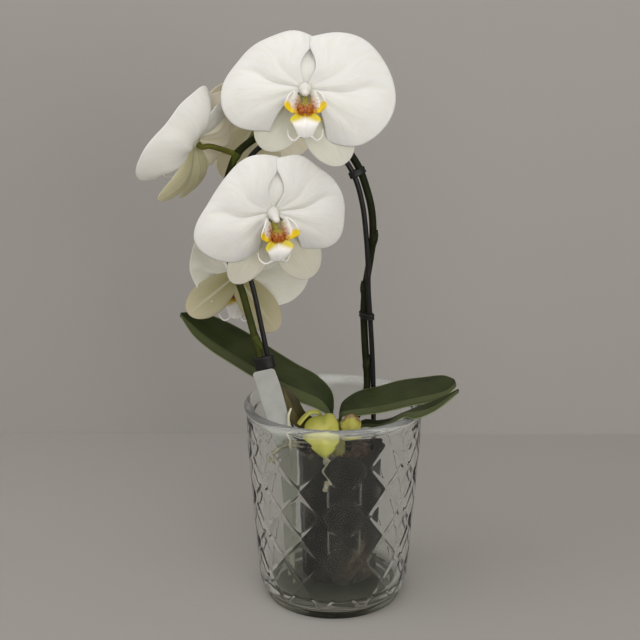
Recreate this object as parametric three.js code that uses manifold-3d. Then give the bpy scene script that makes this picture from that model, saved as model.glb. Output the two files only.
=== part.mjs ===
// A moth orchid in a pressed glass vase: five white blooms on one arched spike, trained along a wire hoop,
// growing in a slim see-through pot of bark that stands inside the vase.
// Millimetres, +Z up. The origin is on the table at the vase's axis, +X to the right, +Y to the back.
import * as THREE from "three";
import { mergeVertices } from "three/addons/utils/BufferGeometryUtils.js";
import Module from "manifold-3d";

const wasm = await Module();
wasm.setup();

const TAU = 2 * Math.PI;
const CLEARANCE = 0.3;
const SLIVER = 0.06;

// Vase: height, outer radii and the diamonds pressed into its wall
const VASE_HEIGHT = 137.3;
const VASE_FOOT_RADIUS = 46.1;
const VASE_FOOT_HEIGHT = 6.5;
const VASE_FLOOR = 11;
const VASE_WALL = 4.2;
const VASE_GROOVE_RADIUS = 47.45;
const VASE_TAPER = 0.0752;
const LIP_RADIUS = 60;
const LIP_ROLL = 2.6;
const DIAMONDS_AROUND = 12;
const DIAMOND_HEIGHT = 33.7;
const DIAMOND_FIRST_ROW = 8.8;
const DIAMOND_HALF_ROWS = 7;
const DIAMOND_TURN = THREE.MathUtils.degToRad(-38.5);
const DIAMOND_BULGE = 3;

// Grow pot and what it is filled with
const POT_CENTRE = new THREE.Vector2(4.4, 8);
const POT_BOTTOM = VASE_FLOOR + CLEARANCE;
const POT_TOP = 105;
const POT_FOOT_RADIUS = 26;
const POT_BODY_RADIUS = 28.9;
const POT_RIM_RADIUS = 30.7;
const POT_RIM_HEIGHT = 4.5;
const POT_WALL = 0.9;
const BARK_TOP = 97;
const CHIPS = 13;

// Stems, stalks and wire
const SPIKE_RADIUS = 2.4;
const STALK_RADIUS = 1.5;
const WIRE_RADIUS = 1.7;
const CROWN_RADIUS = 6;
const LEAF_THICKNESS = 1.8;
const TEPAL_THICKNESS = 0.9;
const LABEL_THICKNESS = 0.7;

const COLOURS = {
  glass: 0xc9d6cf,
  pot: 0x35383a,
  bark: 0x4a3325,
  leaf: 0x2f3d20,
  olive: 0x4f4a26,
  stub: 0xa3a33c,
  root: 0xa8a590,
  stem: 0x3c4a22,
  black: 0x111111,
  white: 0xf4f2ea,
  lip: 0xe0a020,
  label: 0xe6e6e2,
};

const root = new THREE.Group();

function vector([x, y, z]) {
  return new THREE.Vector3(x, y, z);
}

function addPart(name, geometry, colour, roughness = 0.6) {
  const material = new THREE.MeshStandardMaterial({ color: colour, roughness, metalness: 0 });
  const mesh = new THREE.Mesh(geometry, material);
  mesh.name = name;
  root.add(mesh);
}

// Solids for cutting and joining
function toSolid(geometry) {
  const bare = geometry.clone();
  bare.deleteAttribute("normal");
  bare.deleteAttribute("uv");
  const merged = mergeVertices(bare, 1e-4);
  const mesh = new wasm.Mesh({
    numProp: 3,
    vertProperties: merged.attributes.position.array,
    triVerts: new Uint32Array(merged.index.array),
  });
  return new wasm.Manifold(mesh);
}

function toGeometry(solid) {
  const mesh = solid.simplify(SLIVER).getMesh();
  const geometry = new THREE.BufferGeometry();
  geometry.setAttribute("position", new THREE.BufferAttribute(mesh.vertProperties, 3));
  geometry.setIndex(new THREE.BufferAttribute(mesh.triVerts, 1));
  return geometry;
}

function join(geometries) {
  return geometries.map(toSolid).reduce((whole, piece) => whole.add(piece));
}

// The largest body alone, which fills a pocket that joining seals and drops a loose scrap
function oneBody(solid) {
  return solid.decompose().reduce((best, body) => (body.volume() > best.volume() ? body : best));
}

function cut(geometry, cutters) {
  return cutters.map(toSolid).reduce((whole, cutter) => whole.subtract(cutter), toSolid(geometry));
}

// A closed skin over rings of equal length, each ring a list of points, with both ends fanned shut
function ringSkin(rings) {
  const count = rings[0].length;
  const points = rings.flat();
  const faces = [];
  for (let row = 0; row + 1 < rings.length; row++) {
    for (let i = 0; i < count; i++) {
      const a = row * count + i;
      const b = row * count + ((i + 1) % count);
      const flip = (row + i) % 2 === 1;
      if (flip) faces.push(a, b, a + count, b, b + count, a + count);
      else faces.push(a, b, b + count, a, b + count, a + count);
    }
  }
  [0, rings.length - 1].forEach((row) => {
    const middle = rings[row].reduce((sum, p) => sum.add(p), new THREE.Vector3()).divideScalar(count);
    points.push(middle);
    for (let i = 0; i < count; i++) {
      const a = row * count + i;
      const b = row * count + ((i + 1) % count);
      faces.push(...(row === 0 ? [b, a] : [a, b]), points.length - 1);
    }
  });
  const geometry = new THREE.BufferGeometry().setFromPoints(points);
  geometry.setIndex(faces);
  return geometry;
}

// A thin closed blade about a curved middle surface: surface(a, b) gives its points for a and b from 0 to 1
function blade(surface, rows, columns, thickness) {
  const step = 0.004;
  const points = [];
  for (const side of [0.5, -0.5]) {
    for (let i = 0; i <= rows; i++) {
      for (let j = 0; j <= columns; j++) {
        const a = i / rows;
        const b = j / columns;
        const da = surface(Math.min(a + step, 1), b).sub(surface(Math.max(a - step, 0), b));
        const db = surface(a, Math.min(b + step, 1)).sub(surface(a, Math.max(b - step, 0)));
        const normal = da.cross(db).normalize();
        points.push(surface(a, b).addScaledVector(normal, side * thickness));
      }
    }
  }
  const width = columns + 1;
  const back = (rows + 1) * width;
  const faces = [];
  for (let i = 0; i < rows; i++) {
    for (let j = 0; j < columns; j++) {
      const p = i * width + j;
      const [q, r, s] = [p + width, p + width + 1, p + 1];
      faces.push(p, q, r, p, r, s);
      faces.push(back + p, back + r, back + q, back + p, back + s, back + r);
    }
  }
  const rim = [];
  for (let i = 0; i < rows; i++) rim.push(i * width);
  for (let j = 0; j < columns; j++) rim.push(rows * width + j);
  for (let i = rows; i > 0; i--) rim.push(i * width + columns);
  for (let j = columns; j > 0; j--) rim.push(j);
  rim.forEach((p, k) => {
    const q = rim[(k + 1) % rim.length];
    faces.push(p, back + p, back + q, p, back + q, q);
  });
  const geometry = new THREE.BufferGeometry().setFromPoints(points);
  geometry.setIndex(faces);
  return geometry;
}

// A round stalk through points, its radius running evenly from one end's to the other's
function stalk(points, startRadius, endRadius, sides, steps) {
  const curve = new THREE.CatmullRomCurve3(points.map(vector), false, "centripetal");
  const frames = curve.computeFrenetFrames(steps, false);
  const rings = [];
  for (let i = 0; i <= steps; i++) {
    const centre = curve.getPointAt(i / steps);
    const radius = THREE.MathUtils.lerp(startRadius, endRadius, i / steps);
    rings.push(
      Array.from({ length: sides }, (_, k) => {
        const turn = (k / sides) * TAU;
        return centre
          .clone()
          .addScaledVector(frames.normals[i], radius * Math.cos(turn))
          .addScaledVector(frames.binormals[i], radius * Math.sin(turn));
      }),
    );
  }
  return ringSkin(rings);
}

// A smooth value along a list of evenly spaced numbers, at t from 0 to 1
function along(values, t) {
  const place = t * (values.length - 1);
  const i = Math.min(Math.floor(place), values.length - 2);
  const [a, b, c, d] = [values[Math.max(i - 1, 0)], values[i], values[i + 1], values[Math.min(i + 2, values.length - 1)]];
  const f = place - i;
  return b + 0.5 * f * (c - a + f * (2 * a - 5 * b + 4 * c - d + f * (3 * (b - c) + d - a)));
}

// A leaf between three hand-set curves: its near edge, its midrib and its far edge
function leafSurface(nearEdge, midrib, farEdge) {
  const curves = [nearEdge, midrib, farEdge].map((points) => [0, 1, 2].map((axis) => points.map((p) => p[axis])));
  return (a, b) => {
    const [near, mid, far] = curves.map((axes) => vector(axes.map((values) => along(values, a))));
    const t = 2 * b - 1;
    const edge = t < 0 ? near : far;
    const rounding = Math.abs(t) * (1.25 - 0.25 * Math.abs(t));
    return mid.lerp(edge, rounding);
  };
}

// Vase
function diamondRelief(turn, z) {
  const across = ((turn - DIAMOND_TURN) / TAU) * DIAMONDS_AROUND * 2;
  const up = (z - DIAMOND_FIRST_ROW) / (DIAMOND_HEIGHT / 2);
  const groove = (s) => Math.sin(Math.PI * Math.abs(s / 2 - Math.round(s / 2)));
  const top = DIAMOND_HALF_ROWS - up;
  const fade = THREE.MathUtils.smoothstep(Math.min(up, top), 0, 0.35);
  return DIAMOND_BULGE * fade * (groove(up - across) * groove(up + across)) ** 0.8;
}

function vaseRing(radius, z, relief = false) {
  const count = 4 * DIAMONDS_AROUND;
  return Array.from({ length: count }, (_, k) => {
    const turn = DIAMOND_TURN + (k / count) * TAU;
    const r = radius + (relief ? diamondRelief(turn, z) : 0);
    return new THREE.Vector3(r * Math.sin(turn), -r * Math.cos(turn), z);
  });
}

function vaseGeometry() {
  const wall = (z) => VASE_GROOVE_RADIUS + VASE_TAPER * z;
  const bandTop = DIAMOND_FIRST_ROW + (DIAMOND_HALF_ROWS * DIAMOND_HEIGHT) / 2;
  const rings = [
    vaseRing(VASE_FOOT_RADIUS - 0.8, 0),
    vaseRing(VASE_FOOT_RADIUS, 0.8),
    vaseRing(VASE_FOOT_RADIUS + 0.7, VASE_FOOT_HEIGHT),
  ];
  for (let row = 0; row <= 2 * DIAMOND_HALF_ROWS; row++) {
    const z = DIAMOND_FIRST_ROW + (row * DIAMOND_HEIGHT) / 4;
    rings.push(vaseRing(wall(z), z, true));
  }
  rings.push(vaseRing(wall(bandTop) + 0.9, bandTop + 2));
  const lipMiddle = LIP_RADIUS - LIP_ROLL;
  for (const degrees of [-35, 10, 50, 90, 130, 180]) {
    const tilt = THREE.MathUtils.degToRad(degrees);
    rings.push(vaseRing(lipMiddle + LIP_ROLL * Math.cos(tilt), VASE_HEIGHT - LIP_ROLL + LIP_ROLL * Math.sin(tilt)));
  }
  rings.push(vaseRing(wall(122) - VASE_WALL, 122));
  rings.push(vaseRing(wall(VASE_FLOOR) - VASE_WALL - 0.2, VASE_FLOOR + 3));
  rings.push(vaseRing(wall(VASE_FLOOR) - VASE_WALL - 3, VASE_FLOOR));
  return ringSkin(rings);
}

addPart("vase", vaseGeometry(), COLOURS.glass, 0.1);

// Grow pot: a slim tapered tub with a turned-out rim and four drain holes
function potGeometry() {
  const shoulder = POT_TOP - POT_RIM_HEIGHT;
  const outline = [
    [0, POT_BOTTOM],
    [POT_FOOT_RADIUS - 1, POT_BOTTOM],
    [POT_FOOT_RADIUS, POT_BOTTOM + 1],
    [POT_BODY_RADIUS, shoulder],
    [POT_RIM_RADIUS, shoulder + 0.6],
    [POT_RIM_RADIUS, POT_TOP],
    [POT_BODY_RADIUS - POT_WALL, POT_TOP],
    [POT_FOOT_RADIUS - POT_WALL, POT_BOTTOM + 2],
    [0, POT_BOTTOM + 1.4],
  ];
  const tub = new THREE.LatheGeometry(outline.map(([r, z]) => new THREE.Vector2(r, z)), 28);
  tub.rotateX(Math.PI / 2);
  const holes = [0, 1, 2, 3].map((k) => {
    const hole = new THREE.CylinderGeometry(3, 3, 12, 8);
    hole.rotateX(Math.PI / 2);
    hole.translate(14 * Math.cos((k * TAU) / 4), 14 * Math.sin((k * TAU) / 4), POT_BOTTOM);
    return hole;
  });
  const geometry = toGeometry(cut(tub, holes));
  geometry.translate(POT_CENTRE.x, POT_CENTRE.y, 0);
  return geometry;
}

addPart("nursery_pot", potGeometry(), COLOURS.pot, 0.35);

// Routes of the wire, the spike and the straight legs that stand in the bark
const WIRE_ROUTE = [
  [27, 16, 40],
  [27.2, 16, 100],
  [27.4, 16, 125],
  [26.8, 15.5, 148],
  [25.5, 13, 172],
  [24, 10, 193],
  [22.6, 8, 212],
  [22, 6, 231],
  [20.6, 5, 249],
  [18.2, 4.5, 268],
  [13.6, 4, 285],
  [7, 4, 297],
  [-3.4, 4, 307.2],
  [-17.5, 4, 313],
  [-32.2, 4, 312],
  [-44.3, 4, 307.6],
  [-52.3, 4, 301],
  [-58.6, 4, 290],
  [-62, 3.5, 272],
  [-61.6, 3, 252],
  [-58.6, 2.5, 234],
  [-53, 2, 214],
  [-47.4, 1, 186],
  [-42.6, 0.5, 162],
  [-36.5, 0, 137],
  [-28.4, 0.6, 118],
  [-21, 2, 106],
  [-19, 2.8, 97],
  [-18.6, 3, 82],
  [-18.6, 3, 40],
];
const SPIKE_ROUTE = [
  [11, 10, 84],
  [11, 10, 102],
  [13, 11.4, 115],
  [18, 14.6, 126],
  [22.4, 17, 138],
  [22.7, 17.4, 150],
  [21.6, 17.2, 164],
  [20.6, 16.6, 180],
  [20, 15, 196],
  [21.2, 13.2, 214],
  [23.6, 11.2, 231],
  [25.2, 9, 246],
  [24.2, 7, 264],
  [20.6, 6, 279],
  [14.8, 5.4, 294],
  [5.2, 4.8, 307],
  [-5.6, 4.4, 315.2],
  [-18.7, 4.2, 319.2],
  [-31.4, 4.2, 318.2],
  [-43.8, 4.2, 314.6],
  [-54.6, 4.2, 308.4],
  [-62, 4, 301.4],
  [-66.6, 4, 291],
  [-69.6, 4, 280],
  [-72, 4, 265],
  [-71.6, 3.5, 249],
  [-67.6, 3, 231],
  [-60.6, 2.5, 213],
  [-56.6, 1.5, 198],
  [-53, 1, 184],
  [-50, 0.5, 171],
  [-47.6, 0, 160],
  [-45.8, -0.4, 153],
];
const WIRE_STEPS = 48;
const SPIKE_STEPS = 44;

function wireStalk(radius) {
  return stalk(WIRE_ROUTE, radius, radius, 6, WIRE_STEPS);
}

function spikeStalk(radius) {
  return stalk(SPIKE_ROUTE, radius, radius, 7, SPIKE_STEPS);
}

addPart("support_wire", wireStalk(WIRE_RADIUS), COLOURS.black, 0.5);

// Crown: a short upright stem whose foot stands in the bark
const CROWN_ROUTE = [
  [3, 3.5, 58],
  [3, 3.5, 90],
  [3, 3.5, 121.3],
];

function crownStalk(grow) {
  return stalk(CROWN_ROUTE, CROWN_RADIUS + grow, CROWN_RADIUS - 1.2 + grow, 10, 5);
}

addPart("crown_stem", crownStalk(0), COLOURS.stub, 0.6);

// Air roots that climb out of the bark and hang outside the pot
const ROOT_FRONT_ROUTE = [
  [-2.4, -8, 90],
  [-2.4, -10.4, 102],
  [-3, -17, 109.6],
  [-4.6, -24.4, 110.6],
  [-5.6, -26.6, 104],
  [-6, -26.6, 96],
  [-4.8, -26.2, 90],
  [-6, -25.8, 84],
];
const ROOT_LEFT_ROUTE = [
  [-8, -2, 90],
  [-10, -5, 102],
  [-16.6, -11.6, 109.6],
  [-25, -14.2, 110.8],
  [-34, -14.4, 109.6],
  [-39.4, -16, 106],
  [-43, -17.6, 100.4],
];
const ROOT_RADIUS = 1.7;
addPart("root_front", stalk(ROOT_FRONT_ROUTE, ROOT_RADIUS, ROOT_RADIUS, 6, 14), COLOURS.root);
addPart("root_left", stalk(ROOT_LEFT_ROUTE, ROOT_RADIUS, ROOT_RADIUS - 0.3, 6, 14), COLOURS.root);

// Label: a bare plastic strip, wide at its head, that leans out of the gap between pot and glass
const LABEL_ROUTE = [
  [-46.2, -18, 164],
  [-42.6, -17, 151.7],
  [-39.4, -16, 139.6],
  [-36.1, -15, 126.7],
  [-33.1, -13, 116.2],
  [-30.9, -11, 105],
  [-29.8, -8.4, 84],
  [-29.8, -6.4, 60],
  [-30, -5.4, 36],
  [-30, -5, 12.2],
];
const LABEL_HALF_WIDTHS = [7.3, 7.7, 7.5, 7.2, 7, 6.6, 5.8, 5.6, 5.4, 1.4];

function labelSurface(a, b) {
  const axes = [0, 1, 2].map((axis) => LABEL_ROUTE.map((p) => p[axis]));
  const centre = vector(axes.map((values) => along(values, a)));
  const reach = (2 * b - 1) * along(LABEL_HALF_WIDTHS, a);
  const lean = THREE.MathUtils.degToRad(THREE.MathUtils.lerp(13, 2, Math.min(a * 1.6, 1)));
  return centre.add(new THREE.Vector3(reach * Math.cos(lean), 0, reach * Math.sin(lean)));
}

addPart("label", blade(labelSurface, 16, 2, LABEL_THICKNESS), COLOURS.label, 0.4);

const PIN_ROUTE = [
  [-28.2, -18, 138],
  [-29.8, -18.2, 133],
  [-29.6, -18.2, 124],
  [-29, -18, 112],
  [-27.6, -18, 94],
  [-26.6, -17, 60],
  [-26.6, -16, 12],
];
addPart("label_pin", stalk(PIN_ROUTE, 0.8, 0.8, 5, 12), COLOURS.label, 0.4);

// Bark: a plug of chips with plain holes for what stands in it
let seed = 20261125;
function random(low, high) {
  seed = (seed * 1664525 + 1013904223) % 4294967296;
  return low + ((high - low) * seed) / 4294967296;
}

function barkGeometry() {
  const inner = (z) => {
    const share = (z - POT_BOTTOM) / (POT_TOP - POT_RIM_HEIGHT - POT_BOTTOM);
    return THREE.MathUtils.lerp(POT_FOOT_RADIUS, POT_BODY_RADIUS, share) - POT_WALL - CLEARANCE - 0.2;
  };
  const floor = POT_BOTTOM + 2 + CLEARANCE;
  const plug = new THREE.CylinderGeometry(inner(BARK_TOP), inner(floor), BARK_TOP - floor, 20);
  plug.rotateX(Math.PI / 2);
  plug.translate(POT_CENTRE.x, POT_CENTRE.y, (BARK_TOP + floor) / 2);
  const chips = Array.from({ length: CHIPS }, (_, k) => {
    const chip = new THREE.BoxGeometry(random(9, 15), random(6, 10), random(3.5, 5.5));
    const turn = k * 2.4;
    const reach = 19 * Math.sqrt((k + 0.5) / CHIPS);
    chip.rotateX(random(-0.35, 0.35));
    chip.rotateY(random(-0.35, 0.35));
    chip.rotateZ(random(0, TAU));
    chip.translate(POT_CENTRE.x + reach * Math.cos(turn), POT_CENTRE.y + reach * Math.sin(turn), BARK_TOP + random(0, 2));
    return chip;
  });
  const holes = [
    wireStalk(WIRE_RADIUS + CLEARANCE),
    spikeStalk(SPIKE_RADIUS + CLEARANCE),
    crownStalk(CLEARANCE),
    stalk(ROOT_FRONT_ROUTE, ROOT_RADIUS + CLEARANCE, ROOT_RADIUS + CLEARANCE, 6, 14),
    stalk(ROOT_LEFT_ROUTE, ROOT_RADIUS + CLEARANCE, ROOT_RADIUS, 6, 14),
  ];
  const bored = holes.map(toSolid).reduce((whole, hole) => whole.subtract(hole), join([plug, ...chips]));
  return toGeometry(oneBody(bored));
}

addPart("bark_mix", barkGeometry(), COLOURS.bark, 0.9);

// Leaves
const LEAVES = {
  leaf_left: {
    colour: COLOURS.leaf,
    near: [[-2.4, -2, 119], [-1, -3.4, 129], [-10.6, 1, 135.4], [-23.4, 4, 139.6], [-38.2, 6, 146], [-53.6, 8, 151.7],
      [-69.8, 11, 160], [-83.7, 18, 167], [-95.8, 26, 175.2], [-104.6, 34.5, 185.6]],
    mid: [[-4, 3.5, 117.5], [-3.2, 4, 127], [-9.3, 9, 134.4], [-20.8, 14, 138.4], [-36.6, 19, 144], [-53, 23, 152],
      [-68.9, 27, 160.8], [-82, 30, 168.6], [-93.7, 33, 177], [-105.2, 36, 186.8]],
    far: [[-2, 8.8, 119], [0, 11, 129], [-1.6, 17, 138.4], [-11.3, 27, 146.1], [-25.1, 34, 151.9], [-41.9, 40.6, 160.6],
      [-60.1, 45, 171.5], [-77.5, 46, 180.6], [-92, 42.6, 186.6], [-105, 37.4, 188]],
  },
  leaf_right_upper: {
    colour: COLOURS.leaf,
    near: [[4, -3, 123.6], [6, -7, 128.4], [12, -10.4, 129.8], [22.4, -14, 132.2], [35.3, -17, 135.6], [49.6, -18, 139.6],
      [62.7, -17, 142], [73.6, -12, 144.9], [80.2, -4, 149]],
    mid: [[4.2, 1.5, 122.6], [5.4, 0.6, 128], [12.1, -3, 131.1], [22.7, -6, 133.6], [35.8, -8, 136.8], [50.2, -9, 140.7],
      [63.4, -9, 143.6], [74, -7, 145.9], [81, -2.6, 149.3]],
    far: [[4.4, 5.6, 123.6], [5, 8, 131.1], [9, 9.5, 135.6], [17.8, 11, 140.4], [30.1, 12.5, 142.8], [45, 14, 146.6],
      [61.2, 13.5, 149.1], [73.6, 9, 151.1], [81.4, -0.8, 150]],
  },
  leaf_right_lower: {
    colour: COLOURS.leaf,
    near: [[9.4, -0.8, 113], [16, -4.4, 117], [23, -11, 120], [31, -19, 123.6], [38, -27, 131], [45, -35, 140],
      [56, -37.4, 140], [66, -36, 143.5], [73.5, -35, 149], [78.8, -34, 154.4]],
    mid: [[9.9, 2, 112], [16.4, -0.6, 116], [24, -5, 119.4], [33, -11, 123.6], [41, -18, 130.4], [48.6, -27.4, 140],
      [57, -30, 141], [67, -31.4, 144.6], [74.5, -33, 150], [79.1, -33.4, 155]],
    far: [[9.8, 5, 113], [16.4, 3.4, 117], [24.6, 1, 121], [34, -4, 124.6], [43, -12, 130], [50.4, -21.4, 139.6],
      [58.4, -23.6, 141], [68, -26.6, 144.8], [75, -30.4, 150.4], [79.4, -32.6, 155.6]],
  },
  leaf_olive: {
    colour: COLOURS.olive,
    near: [[-2.7, 0.9, 108.6], [-9, -3, 114.6], [-17.2, -6.4, 118.8], [-23.8, -9.6, 121.4], [-29.7, -12, 127.8],
      [-32.3, -12.6, 137.1], [-33.6, -12, 144.5], [-33.9, -11, 150.4]],
    mid: [[-3, 2.4, 110], [-8.8, -1, 116], [-15.9, -4.4, 121.4], [-21.9, -7.6, 125.2], [-25.8, -10, 132.2],
      [-28.4, -10.6, 139.6], [-31.6, -10.8, 145.9], [-33.6, -10.5, 150.9]],
    far: [[-3, 4.2, 111.4], [-8.4, 0.8, 118.6], [-13.9, -2.6, 126], [-19.2, -5.6, 131.2], [-21.8, -8, 136.9],
      [-23.8, -9.4, 142.4], [-28.4, -10, 147.9], [-32.9, -10, 151.4]],
  },
  leaf_stub_right: {
    colour: COLOURS.stub,
    near: [[4.4, -2.9, 113.6], [5.6, -9, 117.4], [4.6, -13, 122.4], [4.2, -15, 128.1], [5.9, -15.5, 130.4]],
    mid: [[6.8, -1.9, 113.4], [10.4, -10, 117.4], [11.2, -15.5, 123.4], [11.1, -18, 129.2], [11.1, -18.5, 132.2]],
    far: [[8.6, -0.8, 114.4], [15, -7.6, 118.2], [17.3, -12, 122.1], [17.8, -14.5, 127.9], [16.4, -15, 130.9]],
  },
};
const STUB_FRONT = {
  near: [[-1.7, -1.9, 115], [-12.6, -8, 120.6], [-18.5, -13, 127.4], [-19.4, -19, 127.5], [-19.4, -24, 123.1],
    [-17.1, -28, 118.4], [-11.2, -29, 112.9]],
  mid: [[0.2, -2.8, 114.6], [-6.6, -9, 122.4], [-7.9, -15, 131.4], [-8, -22, 130.4], [-8, -28.5, 125.5],
    [-7.3, -31, 118.8], [-6, -31, 112.8]],
  far: [[2.8, -2.8, 115], [0.1, -8, 123.4], [0, -14, 133], [2.5, -20, 131.3], [3.1, -25, 124.9],
    [3.1, -28.5, 118.6], [-1.5, -29.5, 113]],
};
const STUB_CURL = {
  near: [[-7, -9, 121.4], [-9.6, -9, 132.4], [-15.2, -11, 134], [-20.4, -13, 131.2], [-24.2, -15, 126.7]],
  mid: [[-7.6, -11, 121], [-9.6, -11.4, 131.4], [-15, -13, 133], [-19.8, -14.8, 130.2], [-23.4, -16.4, 126]],
  far: [[-8.2, -13, 121.4], [-9.6, -14, 132], [-14.8, -15, 133.6], [-19, -16.8, 130.6], [-22.6, -18, 126.2]],
};

function leafBlade({ near, mid, far }, rows, thickness) {
  return blade(leafSurface(near, mid, far), rows, 4, thickness);
}

for (const [name, leaf] of Object.entries(LEAVES)) {
  addPart(name, leafBlade(leaf, leaf.near.length + 1, LEAF_THICKNESS), leaf.colour, 0.45);
}
const stubFront = oneBody(join([leafBlade(STUB_FRONT, 9, 2.2), leafBlade(STUB_CURL, 6, 1.6)]));
addPart("leaf_stub_front", toGeometry(stubFront), COLOURS.stub, 0.45);

// Blooms. In a bloom's own frame x is right and y is up as its face is seen, and z points out of its face.
// A petal is a fan: its reach in mm at even steps of angle, from beside the top sepal round to the lowest edge.
const TOP_BLOOM = {
  leftPetal: { from: 80, to: 230, reach: [31.5, 35.8, 38.3, 43, 50.2, 48.4, 33] },
  rightPetal: { from: 84, to: -68, reach: [31, 39.5, 47.8, 53.4, 55, 48.6, 33.5] },
  sepals: [
    { angle: 80, length: 30, halfWidth: 12 },
    { angle: 236, length: 46, halfWidth: 13 },
    { angle: 297, length: 51, halfWidth: 14 },
  ],
};
const MIDDLE_BLOOM = {
  leftPetal: { from: 84, to: 256, reach: [33.3, 37.9, 35.9, 40, 50.2, 42, 28] },
  rightPetal: { from: 80, to: -54, reach: [33.6, 37.8, 40.6, 46.2, 51, 50.6, 35] },
  sepals: [
    { angle: 96, length: 31, halfWidth: 12 },
    { angle: 244, length: 52, halfWidth: 12.5 },
    { angle: 302, length: 57, halfWidth: 14.5 },
  ],
};
const LEFT_BLOOM = {
  leftPetal: { from: 80, to: 230, reach: [31.5, 35.8, 38.3, 42, 46, 44, 31] },
  rightPetal: { from: 84, to: -68, reach: [31, 40, 42, 44, 50, 47.4, 34] },
  sepals: [
    { angle: 80, length: 30, halfWidth: 12 },
    { angle: 240, length: 43, halfWidth: 12 },
    { angle: 284, length: 43, halfWidth: 13 },
  ],
};
const BACK_BLOOM = {
  leftPetal: { from: 84, to: 236, reach: [31, 35, 37, 41, 47, 43, 30] },
  rightPetal: { from: 80, to: -42, reach: [31, 36, 41, 45, 44, 38, 28] },
  sepals: [
    { angle: 84, length: 29, halfWidth: 11 },
    { angle: 238, length: 42, halfWidth: 12 },
    { angle: 307, length: 43, halfWidth: 13.5 },
  ],
};
const LOW_BLOOM = {
  leftPetal: { from: 80, to: 224, reach: [31, 38, 45, 52, 50, 43, 30] },
  rightPetal: { from: 84, to: -52, reach: [30, 35, 36, 32.5, 29.5, 27, 24] },
  sepals: [
    { angle: 90, length: 30, halfWidth: 12 },
    { angle: 230, length: 47, halfWidth: 13 },
    { angle: 317, length: 41, halfWidth: 13.5 },
  ],
};
const BLOOMS = {
  bloom_top: { form: TOP_BLOOM, centre: [-18.3, -28, 344.6], face: [0.03, -0.99, 0.12], up: [0, 0, 1], size: 1, sweep: 6 },
  bloom_middle: { form: MIDDLE_BLOOM, centre: [-38.7, -32, 270.6], face: [0.36, -0.92, -0.12], up: [0, -0.1, 1], size: 1, sweep: 6 },
  bloom_left: { form: LEFT_BLOOM, centre: [-88.5, -5, 310.6], face: [-0.79, 0.375, 0.49], up: [0.52, 0, 0.85], size: 1, sweep: 3 },
  bloom_back: { form: BACK_BLOOM, centre: [-53.5, 60, 315], face: [-0.48, 0.87, 0.12], up: [0, 0, 1], size: 1, sweep: 6 },
  bloom_low: { form: LOW_BLOOM, centre: [-66.5, 36, 214.4], face: [0.05, 0.95, -0.3], up: [0.05, 0.3, 0.95], size: 1, sweep: 5 },
};
const HUB_RADIUS = 4.2;
const COLUMN_LENGTH = 10.5;
const CREASE_AT = 0.58;

function petalSurface(petal, sweep) {
  return (a, b) => {
    const spread = 0.72 + 0.28 * a;
    const degrees = THREE.MathUtils.lerp(petal.from, petal.to, 0.5 + (b - 0.5) * spread);
    const turn = THREE.MathUtils.degToRad(degrees);
    const reach = 3 + a * (along(petal.reach, b) - 3);
    const dome = 3.2 * Math.sin(Math.PI * Math.min(a * 0.92 + 0.02, 1));
    const crease = 1.7 * Math.exp(-(((b - CREASE_AT) / 0.09) ** 2)) * Math.sin(Math.PI * a) ** 0.6;
    const wave = 1.1 * a * a * Math.sin(9 * b + 0.6);
    return new THREE.Vector3(reach * Math.cos(turn), reach * Math.sin(turn), 1 + dome - crease + wave - sweep * a * a);
  };
}

function sepalSurface(sepal, sweep) {
  const turn = THREE.MathUtils.degToRad(sepal.angle);
  return (a, b) => {
    const t = 2 * b - 1;
    const half = Math.max(sepal.halfWidth * Math.sin(Math.PI * (0.12 + 0.86 * a)) ** 0.75, 1);
    const reach = 2.6 + a * (sepal.length - 2.6);
    const x = reach * Math.cos(turn) - t * half * Math.sin(turn);
    const y = reach * Math.sin(turn) + t * half * Math.cos(turn);
    return new THREE.Vector3(x, y, -1.6 + 1.6 * t * t * Math.sin(Math.PI * a) - sweep * a * a);
  };
}

function columnGeometry(grow) {
  const outline = [
    [0, -4],
    [2.6, -3.4],
    [HUB_RADIUS, -1],
    [3.4, 2],
    [2.5, 4.2],
    [2.9, 8],
    [2.4, 10],
    [0, COLUMN_LENGTH],
  ];
  const profile = outline.map(([r, z]) => new THREE.Vector2(r === 0 ? 0 : r + grow, z + Math.sign(z) * grow));
  const column = new THREE.LatheGeometry(profile, 7);
  column.rotateX(Math.PI / 2);
  column.rotateX(THREE.MathUtils.degToRad(12));
  return column;
}

// Lip: the cushion at its middle, two ears beside the column, and the three-cornered middle lobe
function lipEarSurface(side) {
  const patch = [
    [[3, -6, 6.8], [3, -10, 9.4], [3, -15, 11.4]],
    [[7.4, -0.8, 8.6], [10, -7, 12], [9.6, -14, 14]],
    [[8, 0.2, 11], [13.4, -7, 15.5], [15.6, -12.6, 17]],
  ];
  return (a, b) => {
    const rows = patch.map((row) => vector([0, 1, 2].map((axis) => along(row.map((p) => p[axis]), b))));
    const point = vector([0, 1, 2].map((axis) => along(rows.map((p) => p.getComponent(axis)), a)));
    point.x *= side;
    return point;
  };
}

function lipLobeSurface(a, b) {
  const t = 2 * b - 1;
  const half = along([3.6, 10.6, 8.6, 6.6, 5.2], a);
  const y = along([-13.6, -20, -24, -28, -31.6], a);
  const z = along([9.6, 12.6, 13, 11.6, 9.4], a);
  return new THREE.Vector3(half * t, y + 1.2 * t * t, z + 0.16 * half * t * t);
}

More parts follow.
